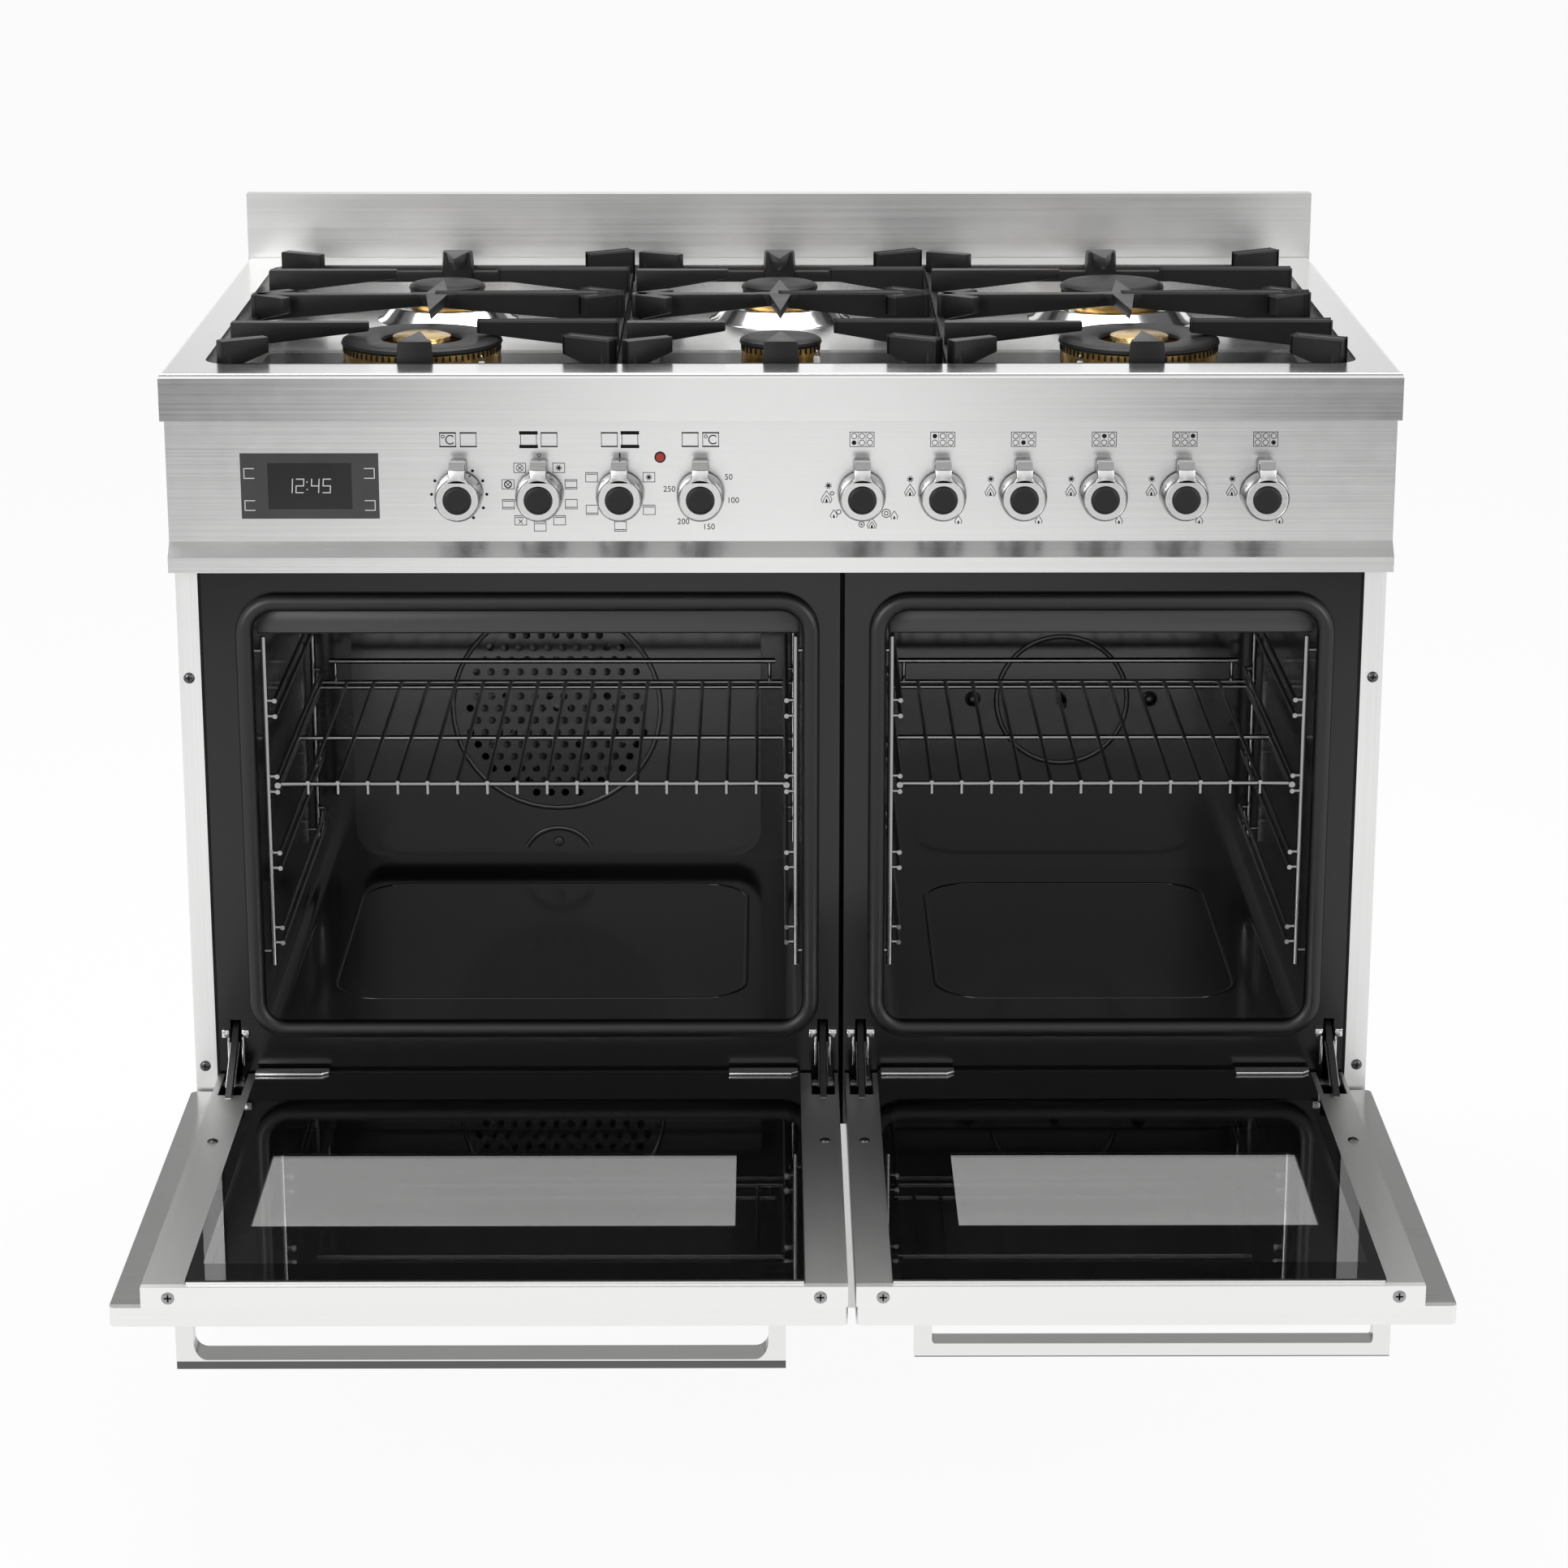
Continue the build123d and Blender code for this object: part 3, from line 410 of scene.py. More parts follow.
@dataclass(frozen=True)
class Enamel:
    """Fired enamel or powder coat: dark, with an orange-peel surface and fine flecks."""

    name: str
    colour: Colour = grey(0.012, 0.001)
    roughness: float = 0.22
    peel: float = 0.12
    flecks: float = 0.35
    gloss: float = 0.5

    def material(self) -> Material:
        """Build the material.

        Returns:
            The material.
        """
        graph = Graph.material(self.name)
        peel = graph.noise(220.0)
        specks = graph.noise(1500.0, detail=1.0)
        dots = (specks > 0.68) * self.flecks
        base = graph.shade((peel * 0.4 + dots).clamped(), self.colour, 0.85, 1.7)
        return graph.surface({
            "Base Color": base,
            "Roughness": self.roughness + peel * 0.08,
            "Specular IOR Level": self.gloss,
            "Normal": graph.bump(peel, self.peel, 0.0003),
        })


@dataclass(frozen=True)
class CastIron:
    """Matte black enamelled casting with a sandy skin, paler above a height in metres: a painted highlight
    that stands in for light on the top faces.

    The plain height lies above the cooker, for castings without that painted highlight.
    """

    name: str
    colour: Colour = grey(0.006)
    roughness: float = 0.48
    gloss: float = 0.28
    highlight_above: float = 10.0

    def material(self) -> Material:
        """Build the material.

        Returns:
            The material.
        """
        graph = Graph.material(self.name)
        sand = graph.noise(1400.0)
        patches = graph.noise(70.0, detail=3.0)
        # Painted highlight: faces above this height are paler, standing in for the light on the top faces.
        lit_top = graph.along("Z") > self.highlight_above
        tone = (sand * 0.05 + patches * 0.05) * (1.0 - lit_top) + (0.75 + patches * 0.25) * lit_top
        return graph.surface({
            "Base Color": graph.shade(tone, self.colour, 0.8, 9.0),
            "Roughness": (self.roughness - 0.1) + patches * 0.2,
            "Specular IOR Level": self.gloss,
            "Normal": graph.bump(sand, 0.35, 0.0004),
        })


@dataclass(frozen=True)
class Brass:
    """Machined brass, a little browned by heat."""

    name: str
    colour: Colour = (0.62, 0.40, 0.14)
    roughness: float = 0.22
    hammered: float = 0.0

    def material(self) -> Material:
        """Build the material.

        Returns:
            The material.
        """
        graph = Graph.material(self.name)
        heat = graph.noise(35.0, detail=3.0)
        turning = graph.noise((60.0, 60.0, 1800.0))
        dimples = graph.noise(260.0)
        relief = turning * 0.2 + dimples * self.hammered
        return graph.surface({
            "Base Color": graph.shade(heat, self.colour, 0.72, 1.15),
            "Metallic": 1.0,
            "Roughness": self.roughness + heat * 0.12,
            "Normal": graph.bump(relief, 0.1 + 0.7 * self.hammered, 0.0006),
        })


@dataclass(frozen=True)
class Pane:
    """Flat glass, tinted, with faint wiping marks."""

    name: str
    colour: Colour

    def material(self) -> Material:
        """Build the material.

        Returns:
            The material.
        """
        graph = Graph.material(self.name)
        wipes = graph.noise((3.0, 12.0, 12.0), detail=3.0)
        return graph.surface({
            "Base Color": graph.shade(wipes, self.colour, 0.97, 1.03),
            "Roughness": wipes * 0.01,
            "IOR": 1.45,
            "Transmission Weight": 1.0,
        })


@dataclass(frozen=True)
class Moulded:
    """Moulded plastic, rubber or ceramic with a fine texture."""

    name: str
    colour: Colour = grey(0.02)
    roughness: float = 0.45
    grain: float = 0.15
    gloss: float = 0.5

    def material(self) -> Material:
        """Build the material.

        Returns:
            The material.
        """
        graph = Graph.material(self.name)
        skin = graph.noise(1200.0)
        drift = graph.noise(25.0)
        return graph.surface({
            "Base Color": graph.shade(drift, self.colour, 0.9, 1.12),
            "Roughness": (self.roughness - 0.05) + drift * 0.1,
            "Specular IOR Level": self.gloss,
            "Normal": graph.bump(skin, self.grain, 0.0002),
        })


@dataclass(frozen=True)
class Glow:
    """Lit segments of a display, a little uneven."""

    name: str
    colour: Colour = grey(0.8)

    def material(self) -> Material:
        """Build the material.

        Returns:
            The material.
        """
        graph = Graph.material(self.name)
        drift = graph.noise(300.0, detail=1.0)
        lit = graph.shade(drift, self.colour, 0.95, 1.05)
        return graph.surface({
            "Base Color": (0.0, 0.0, 0.0, 1.0),
            "Roughness": 0.5,
            "Emission Color": lit,
            "Emission Strength": 0.7,
        })


class Finishes:
    """All materials of the cooker, each built once."""

    def __init__(self) -> None:
        """Build the materials."""
        across, upright, deep = Grain.ACROSS, Grain.UPRIGHT, Grain.DEEP
        # Painted highlight: the door sheets are lighter in front of this depth, standing in for light on
        # their front edges.
        edge = PaintedLightZone("Y", False, -0.5192, 1.8)
        # Painted shade: the door channels are darker above this height, standing in for the shade round the
        # stay arms.
        arms = PaintedLightZone("Z", True, 0.2476, 0.16)
        # Painted highlight: the handle bar is lighter in front of this depth, standing in for a reflection on
        # its front face.
        bar_front_highlight = PaintedLightZone("Y", False, -0.5134, 1.3)
        self.panel = BrushedSteel("panel_steel", across, grey(0.87, -0.005), 0.25, 0.08).material()
        self.side = BrushedSteel("side_steel", upright, grey(0.88, -0.005), 0.36).material()
        self.rim = BrushedSteel("rim_steel", across, grey(0.86, -0.005), 0.2, 0.05).material()
        self.plinth = BrushedSteel("plinth_steel", across, grey(0.62, -0.005), 0.3, 0.06).material()
        self.guard = BrushedSteel("guard_steel", across, grey(0.72, -0.005), 0.34, 0.08).material()
        self.well = BrushedSteel("well_steel", across, grey(0.2), 0.22, 0.04).material()
        self.channel = BrushedSteel("channel_steel", deep, grey(0.48, -0.005), 0.42, 0.08,
                                    (edge, arms)).material()
        self.satin = BrushedSteel("satin_steel", across, grey(0.76, -0.005), 0.27, 0.04).material()
        self.skin = BrushedSteel("skin_steel", across, grey(0.48, -0.005), 0.3, 0.1, (edge,)).material()
        self.handle = BrushedSteel("handle_steel", across, grey(0.62, -0.005), 0.2, 0.05,
                                   (bar_front_highlight,)).material()
        self.pipe = BrightSteel("pipe_aluminium", grey(0.5), 0.3).material()
        self.galvanised = BrushedSteel("galvanised_sheet", upright, (0.42, 0.43, 0.44), 0.5, 0.2).material()
        self.bright = BrightSteel("bright_steel").material()
        self.knob_body = BrightSteel("knob_steel", grey(0.26), 0.16).material()
        self.wire = BrightSteel("chrome_wire", grey(0.36), 0.12).material()
        self.dark_steel = BrightSteel("dark_steel", grey(0.12), 0.22).material()
        self.front = Enamel("front_enamel", grey(0.004, 0.0002), 0.13, 0.03, 0.1).material()
        self.cavity = Enamel("cavity_enamel", grey(0.018, 0.0005), 0.1, 0.03, 0.35, 0.85).material()
        # Painted light: the fan cover is a lighter copy of the cavity enamel, standing in for the light on
        # the rear wall.
        self.cover = Enamel("cover_enamel_lit", grey(0.03, 0.0005), 0.12, 0.03, 0.35, 1.0).material()
        self.band = Enamel("band_enamel", grey(0.045), 0.3, 0.05, 0.1).material()
        self.liner = Enamel("liner_black", grey(0.002), 0.3, 0.03, 0.0, 0.2).material()
        # Painted highlight on the tops of the pan supports, above 0.8656 m.
        self.iron = CastIron("support_iron", highlight_above=0.8656).material()
        self.cap = CastIron("cap_enamel", grey(0.005), 0.42, 0.22).material()
        self.brass = Brass("burner_brass", (0.5, 0.31, 0.1)).material()
        self.hammered = Brass("hammered_brass", (0.68, 0.47, 0.18), 0.18, 1.0).material()
        self.door_glass = Pane("door_glass", grey(0.9)).material()
        self.window_glass = Pane("window_glass", grey(0.86)).material()
        self.rubber = Moulded("seal_rubber", grey(0.006), 0.38).material()
        self.button = Moulded("button_plastic", grey(0.012), 0.42, gloss=0.3).material()
        self.foot = Moulded("foot_plastic", grey(0.03), 0.6, 0.3).material()
        self.switch = Moulded("switch_plastic", grey(0.06), 0.55, 0.3).material()
        self.ceramic = Moulded("white_ceramic", (0.8, 0.79, 0.76), 0.25, 0.05).material()
        self.ink = Moulded("panel_ink", grey(0.006), 0.6, 0.05, 0.2).material()
        self.lamp = Moulded("red_lens", (0.35, 0.02, 0.012), 0.15, 0.02).material()
        self.screen = Moulded("screen_black", grey(0.012, 0.001), 0.22, 0.0).material()
        self.screen_edge = Moulded("screen_grey", grey(0.042, 0.002), 0.3, 0.0).material()
        self.digits = Glow("clock_digits").material()


# Places and mesh work


def low_corner(node: str) -> Vector:
    """Lowest corner of a node's box, in millimetres."""
    return Vector(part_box(node)[0]) / MM


def high_corner(node: str) -> Vector:
    """Highest corner of a node's box, in millimetres."""
    return Vector(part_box(node)[1]) / MM


@dataclass(frozen=True)
class Layout:
    """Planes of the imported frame, in millimetres, that the added pieces are placed from."""

    front_y: float
    well_floor: float
    panel_face: float
    panel_low: float
    knob_height: float
    oven_face: float
    door_outer: float
    skin_top: float
    frame_top: float
    glass_top: float

    @staticmethod
    def from_frame() -> "Layout":
        """Read the planes from the node boxes.

        Returns:
            The layout.
        """
        front_y = low_corner("hob_top").y
        knob_low = low_corner("gas_knob_1")
        knob_radius = (high_corner("gas_knob_1").x - knob_low.x) / 2
        return Layout(
            front_y=front_y,
            well_floor=low_corner("burner_skirts").z,
            panel_face=high_corner("indicator_lens").y - front_y - LENS_BEHIND_FACE,
            panel_low=low_corner("control_panel").z,
            knob_height=knob_low.z + knob_radius,
            oven_face=low_corner("oven_fronts").y - front_y,
            door_outer=low_corner("door_left_skin").z,
            skin_top=high_corner("door_left_skin").z,
            frame_top=low_corner("door_left_glass").z,
            glass_top=high_corner("door_left_glass").z,
        )


class Place:
    """Turns X, depth behind the hob trim and height, in millimetres, into a point in metres."""

    front_y: float = 0.0

    @classmethod
    def at(cls, x: float, depth: float, z: float) -> Vector:
        """The point in metres.

        Args:
            x: Millimetres to the right of the middle.
            depth: Millimetres behind the hob trim's front plane.
            z: Millimetres above the floor.

        Returns:
            The point.
        """
        return Vector((x, cls.front_y + depth, z)) * MM


class Sketch:
    """A mesh that shapes are added to and that becomes one object, with its place in its mesh."""

    def __init__(self) -> None:
        """Start empty."""
        self.mesh = bmesh.new()

    def box(self, x: Point2, depth: Point2, z: Point2, bevel: float = 0.0) -> list[bmesh.types.BMVert]:
        """Add a box with rounded edges.

        Args:
            x: Lowest and highest X.
            depth: Nearest and farthest depth.
            z: Lowest and highest height.
            bevel: Radius of the edges in millimetres.

        Returns:
            The box's vertices, which hold only without a bevel.
        """
        low = Place.at(x[0], depth[0], z[0])
        high = Place.at(x[1], depth[1], z[1])
        matrix = Matrix.Translation((low + high) / 2) @ Matrix.Diagonal((*(high - low), 1.0))
        made = bmesh.ops.create_cube(self.mesh, size=1.0, matrix=matrix)["verts"]
        self._bevel(made, bevel)
        return made

    def _bevel(self, verts: list[bmesh.types.BMVert], radius: float) -> None:
        """Round all edges of some vertices.

        Args:
            verts: The vertices.
            radius: Radius in millimetres; at 0 the edges stay sharp.
        """
        if radius <= 0:
            return
        edges = list({edge for vert in verts for edge in vert.link_edges})
        bmesh.ops.bevel(
            self.mesh, geom=edges, offset=radius * MM, affect="EDGES", segments=2, profile=0.5, material=-1,
            clamp_overlap=True,
        )

    def _extrude(
        self, corners: Sequence[Vector], shift: Vector, bevel: float, end_scale: float = 1.0
    ) -> None:
        """Add a plate by drawing a face along a line.

        Args:
            corners: Corners of the face, in metres.
            shift: The line, in metres.
            bevel: Radius of the edges in millimetres.
            end_scale: Size across the Z axis of the far end against the face.
        """
        first = [self.mesh.verts.new(corner) for corner in corners]
        made = bmesh.ops.extrude_face_region(self.mesh, geom=[self.mesh.faces.new(first)])["geom"]
        last = [item for item in made if isinstance(item, bmesh.types.BMVert)]
        bmesh.ops.translate(self.mesh, verts=last, vec=shift)
        if end_scale != 1.0:
            space = Matrix.Translation(-sum((vert.co for vert in last), Vector()) / len(last))
            bmesh.ops.scale(self.mesh, verts=last, vec=(end_scale, end_scale, 1.0), space=space)
        verts = first + last
        faces = list({face for vert in verts for face in vert.link_faces})
        bmesh.ops.recalc_face_normals(self.mesh, faces=faces)
        self._bevel(verts, bevel)

    def prism(
        self, outline: Sequence[Point2], z: Point2, bevel: float = 0.0, foot_scale: float = 1.0
    ) -> None:
        """Add an upright prism over an outline of (x, depth) points.

        Args:
            outline: Corners in order.
            z: Lowest and highest height.
            bevel: Radius of the edges in millimetres.
            foot_scale: Size of the lower end against the upper one.
        """
        corners = [Place.at(x, depth, z[1]) for x, depth in outline]
        self._extrude(corners, UP * ((z[0] - z[1]) * MM), bevel, foot_scale)

    def loft(self, outline: Sequence[Point2], x: Point2) -> None:
        """Add a plate that faces sideways, over an outline of (depth, z) points.

        Args:
            outline: Corners in order.
            x: Left and right side.
        """
        corners = [Place.at(x[0], depth, z) for depth, z in outline]
        self._extrude(corners, Vector(((x[1] - x[0]) * MM, 0, 0)), 0.0)

    def slab(self, outline: Sequence[Point2], depth: Point2, bevel: float = 0.0) -> None:
        """Add a plate that faces the front, over an outline of (x, z) points.

        Args:
            outline: Corners in order.
            depth: Nearest and farthest depth.
            bevel: Radius of the edges in millimetres.
        """
        corners = [Place.at(x, depth[0], z) for x, z in outline]
        self._extrude(corners, FRONT * ((depth[0] - depth[1]) * MM), bevel)

    def spin(
        self, profile: Sequence[Point2], centre: Vector, axis: Vector, steps: int = 48, closed: bool = False
    ) -> None:
        """Add a turned shape.

        Args:
            profile: Radius and distance along the axis of each point, in millimetres.
            centre: Point on the axis, in metres.
            axis: Direction of the axis.
            steps: Steps of the full turn.
            closed: Whether the profile is a closed loop, as for a ring.
        """
        axis = axis.normalized()
        across = axis.orthogonal().normalized()
        verts = [self.mesh.verts.new(centre + across * (r * MM) + axis * (h * MM)) for r, h in profile]
        pairs = list(zip(verts, verts[1:]))
        if closed:
            pairs.append((verts[-1], verts[0]))
        edges = [self.mesh.edges.new(pair) for pair in pairs]
        bmesh.ops.spin(
            self.mesh, geom=verts + edges, cent=centre, axis=axis, angle=math.tau, steps=steps,
            use_merge=True, use_duplicate=False,
        )
        self._weld(verts)

    def _weld(self, seeds: list[bmesh.types.BMVert]) -> None:
        """Merge doubles at the poles of a turned shape and point its faces outwards.

        Args:
            seeds: Vertices of the profile.
        """
        reached = set(vert for vert in seeds if vert.is_valid)
        border = list(reached)
        while border:
            vert = border.pop()
            for edge in vert.link_edges:
                other = edge.other_vert(vert)
                if other not in reached:
                    reached.add(other)
                    border.append(other)
        bmesh.ops.remove_doubles(self.mesh, verts=list(reached), dist=WELD_REACH)
        faces = list({face for vert in reached if vert.is_valid for face in vert.link_faces})
        bmesh.ops.recalc_face_normals(self.mesh, faces=faces)

    def rod(self, start: Vector, end: Vector, radius: float, sides: int = 12) -> None:
        """Add a round rod.

        Args:
            start: First end, in metres.
            end: Second end, in metres.
            radius: In millimetres.
            sides: Sides of its section.
        """
        line = end - start
        turn = UP.rotation_difference(line).to_matrix().to_4x4()
        bmesh.ops.create_cone(
            self.mesh, cap_ends=True, segments=sides, radius1=radius * MM, radius2=radius * MM,
            depth=line.length, matrix=Matrix.Translation((start + end) / 2) @ turn,
        )

    def bar(
        self, start: Point2, end: Point2, z_top: float, widths: Point2, heights: Point2, bevel: float
    ) -> None:
        """Add a straight bar with a flat top, tapered in width and height.

        Args:
            start: X and depth of the first end.
            end: X and depth of the second end.
            z_top: Height of the top face.
            widths: Width at each end.
            heights: Height at each end.
            bevel: Radius of the edges.
        """
        ends = (Place.at(*start, z_top), Place.at(*end, z_top))
        across = UP.cross((ends[1] - ends[0]).normalized())
        made = bmesh.ops.create_cube(self.mesh, size=1.0)["verts"]
        for vert in made:
            last = int(vert.co.x > 0)
            drop = 0.0 if vert.co.z > 0 else heights[last]
            side = math.copysign(widths[last] / 2, vert.co.y)
            vert.co = ends[last] + across * (side * MM) - UP * (drop * MM)
        self._bevel(made, bevel)

    def finish(
        self, name: str, finish: Material, body: str = COOKER, smooth: float = 40.0
    ) -> Piece:
        """Turn the sketch into an object that rides on a body.

        Args:
            name: The object's name.
            finish: Its material.
            body: The body it moves with.
            smooth: Edges sharper than this many degrees stay sharp.

        Returns:
            The object.
        """
        data = bpy.data.meshes.new(name)
        for face in self.mesh.faces:
            face.smooth = True
        for edge in self.mesh.edges:
            if len(edge.link_faces) == 2 and edge.calc_face_angle() > math.radians(smooth):
                edge.smooth = False
        self.mesh.to_mesh(data)
        self.mesh.free()
        return mounted(data, finish, body)


def mounted(data: bpy.types.Mesh, finish: Material, body: str) -> Piece:
    """Make an object of a mesh, under the mesh's name.

    Args:
        data: The mesh.
        finish: Its material.
        body: The body it moves with.

    Returns:
        The object.
    """
    data.materials.clear()
    data.materials.append(finish)
    piece = bpy.data.objects.new(data.name, data)
    bpy.context.scene.collection.objects.link(piece)
    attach(piece, body)
    LOG.info("piece %s on %s", piece.name, body)
    return piece


def meshed(curve: bpy.types.Curve) -> bpy.types.Mesh:
    """Turn a curve or a text into a mesh of the same name.

    Args:
        curve: The curve, which is removed.

    Returns:
        The mesh.
    """
    name = curve.name
    holder = bpy.data.objects.new(name, curve)
    bpy.context.scene.collection.objects.link(holder)
    bpy.context.view_layer.update()
    data = bpy.data.meshes.new_from_object(holder.evaluated_get(bpy.context.evaluated_depsgraph_get()))
    bpy.data.objects.remove(holder)
    bpy.data.curves.remove(curve)
    data.name = name
    return data


def beside(x: float, side: int, reach: Point2) -> Point2:
    """The span beside a middle, from one reach to the other.

    Args:
        x: The middle.
        side: -1 for the left, 1 for the right.
        reach: Both distances from the middle.

    Returns:
        Lowest and highest X.
    """
    first, last = sorted(x + side * distance for distance in reach)
    return first, last


def rounded_outline(x: Point2, z: Point2, radius: float, steps: int = 8) -> list[Point2]:
    """Corners of a rectangle with round corners.

    Args:
        x: Lowest and highest first coordinate.
        z: Lowest and highest second coordinate.
        radius: Corner radius.
        steps: Points per corner.

    Returns:
        The points, anticlockwise.
    """
    points = []
    for cx, cz, first in (
        (x[1] - radius, z[1] - radius, 0), (x[0] + radius, z[1] - radius, 90),
        (x[0] + radius, z[0] + radius, 180), (x[1] - radius, z[0] + radius, 270),
    ):
        for step in range(steps + 1):
            angle = math.radians(first + 90 * step / steps)
            points.append((cx + radius * math.cos(angle), cz + radius * math.sin(angle)))
    return points


def bead(
    name: str, points: Sequence[Vector], radius: float, finish: Material, flat: float,
    cyclic: bool = True, axis: int = 1,
) -> Piece:
    """A bead along a line, as for a seal or a pressed rib.

    Args:
        name: The object's name.
        points: Points of the line, in metres.
        radius: Radius of the bead in millimetres.
        finish: Its material.
        flat: Factor on the bead's reach along one axis.
        cyclic: Whether the line closes.
        axis: Number of that axis.

    Returns:
        The object.
    """
    curve = bpy.data.curves.new(name, "CURVE")
    curve.dimensions = "3D"
    curve.bevel_depth = radius * MM
    curve.bevel_resolution = 4
    curve.use_fill_caps = not cyclic
    spline = curve.splines.new("POLY")
    spline.points.add(len(points) - 1)
    for slot, point in zip(spline.points, points):
        slot.co = (*point, 1.0)
    spline.use_cyclic_u = cyclic
    data = meshed(curve)
    middle = sum(point[axis] for point in points) / len(points)
    for vert in data.vertices:
        vert.co[axis] = middle + (vert.co[axis] - middle) * flat
    for polygon in data.polygons:
        polygon.use_smooth = True
    return mounted(data, finish, COOKER)


def numerals(name: str, text: str, centre: Vector, height: float, finish: Material) -> Piece:
    """Plain numbers printed on an upright face that looks to the front.

    Args:
        name: The object's name.
        text: The digits.
        centre: Middle of the text, in metres.
        height: Height of a digit in millimetres.
        finish: Its material.

    Returns:
        The object.
    """
    curve = bpy.data.curves.new(name, "FONT")
    curve.body = text
    curve.size = height * MM * SIZE_OF_DIGIT
    curve.align_x = "CENTER"
    curve.align_y = "CENTER"
    curve.extrude = PRINT_RISE * MM / 2
    data = meshed(curve)
    data.transform(Matrix.Translation(centre) @ Matrix.Rotation(math.pi / 2, 4, "X"))
    return mounted(data, finish, COOKER)


@dataclass
class Maker:
    """Makes pieces from the planes of the frame, in the cooker's finishes."""

    layout: Layout
    finishes: Finishes


# Hob


@dataclass
class PanSupport(Maker):
    """One cast pan support: a low frame on four posts, with fingers and prongs that carry the pans."""

    node: str
    finger_gap: float = 46.0
    finger_depths: Point2 = (155.0, 430.0)
    cross: float = 298.0
    frame_z: Point2 = (837.0, 847.0)
    frame_bar: float = 9.0
    star_reach: Point2 = (206.0, 374.0)
    prong_reach: float = 36.0
    prong_turn: float = 30.0
    fork_reach: float = 40.0
    rounding: float = 1.6

    def build(self) -> Piece:
        """Model the support in place of its node.

        Returns:
            The piece.
        """
        low, high = low_corner(self.node), high_corner(self.node)
        self.left, self.right, self.top = low.x, high.x, high.z
        self.near, self.far = low.y - self.layout.front_y, high.y - self.layout.front_y
        self.middle = (self.left + self.right) / 2
        self.floor = self.layout.well_floor
        self.sketch = Sketch()
        self._frame()
        self._corners()
        self._fingers()
        self._cross_bar()
        self._end_prongs()
        piece = self.sketch.finish(self.node + "_casting", self.finishes.iron)
        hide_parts(self.node)
        return piece

    def _bar(self, start: Point2, end: Point2, widths: Point2, heights: Point2) -> None:
        """Add a tapered bar whose top carries the pans.

        Args:
            start: X and depth of the first end.
            end: X and depth of the second end.
            widths: Width at each end.
            heights: Height at each end.
        """
        self.sketch.bar(start, end, self.top, widths, heights, self.rounding)

    def _frame(self) -> None:
        """Add the low frame that joins the prongs."""
        bar = self.frame_bar
        for x in ((self.left, self.left + bar), (self.right - bar, self.right)):
            self.sketch.box(x, (self.near, self.far), self.frame_z, 1.8)
        for depth in ((self.near, self.near + bar), (self.far - bar, self.far)):
            self.sketch.box((self.left, self.right), depth, self.frame_z, 1.8)

    def _corners(self) -> None:
        """Add the four posts, each with a prong that is turned inwards."""
        turn = math.radians(self.prong_turn)
        across, deep = math.cos(turn), math.sin(turn)
        profile = ((0, self.floor), (8.6, self.floor), (8.4, 826), (6.8, 836), (6.2, 858), (0, 858))
        for side in (-1, 1):
            for end in (-1, 1):
                x = (self.left if side < 0 else self.right) - side * 9.0
                depth = (self.near if end < 0 else self.far) - end * 9.0
                self.sketch.spin(profile, Place.at(x, depth, 0), UP, 24)
                tip = (x - side * self.prong_reach * across, depth - end * self.prong_reach * deep)
                heel = (x + side * 6.5 * across, depth + end * 6.5 * deep)
                self._bar(heel, tip, (12.5, 10.5), (26.0, 13.0))

    def _fingers(self) -> None:
        """Add the tapered fingers beside the burners."""
        for depth in self.finger_depths:
            for side in (-1, 1):
                root = (self.left if side < 0 else self.right) - side * 2.0
                tip = (self.middle + side * self.finger_gap, depth)
                self._bar((root, depth), tip, (12.0, 8.5), (22.0, 8.0))

    def _cross_bar(self) -> None:
        """Add the bar across the middle, with a four-pointed star and forked ends."""
        turn = math.radians(self.prong_turn + 4)
        across, deep = self.fork_reach * math.cos(turn), self.fork_reach * math.sin(turn)
        m, c = self.middle, self.cross
        for side in (-1, 1):
            root = (self.left if side < 0 else self.right) - side * 2.0
            self._bar((root, c), (m, c), (15.0, 9.0), (24.0, 10.0))
            for end in (-1, 1):
                tip = (root - side * across, c + end * deep)
                self._bar((root - side * 4.0, c), tip, (13.0, 10.5), (24.0, 14.0))
        near, far = self.star_reach
        outline = (
            (m, near), (m + 9.5, c - 6), (m + 22, c - 4), (m + 22, c + 4), (m + 9.5, c + 6),
            (m, far), (m - 9.5, c + 6), (m - 22, c + 4), (m - 22, c - 4), (m - 9.5, c - 6),
        )
        self.sketch.prism(outline, (self.top - 11.0, self.top + 0.2), 0.7, 0.8)

    def _end_prongs(self) -> None:
        """Add the wedge-shaped prongs in the middle of the front and of the rear."""
        m = self.middle
        for end in (1, -1):
            edge = self.near if end > 0 else self.far
            post = [(m - 14, edge), (m + 14, edge), (m + 12, edge + end * 14), (m - 12, edge + end * 14)]
            top = [(m - 13, edge), (m + 13, edge), (m + 9.5, edge + end * 16), (m, edge + end * 54),
                   (m - 9.5, edge + end * 16)]
            self.sketch.prism(post if end > 0 else post[::-1], (self.frame_z[0], self.top - 0.4), 1.2, 1.15)
            self.sketch.prism(top if end > 0 else top[::-1], (self.top - 12.0, self.top), 1.0, 0.86)


class BurnerKind(Enum):
    """Sizes of burner, by the radius of the cap."""

    SMALL = 34.5
    LARGE = 47.0
    DOUBLE = 67.5


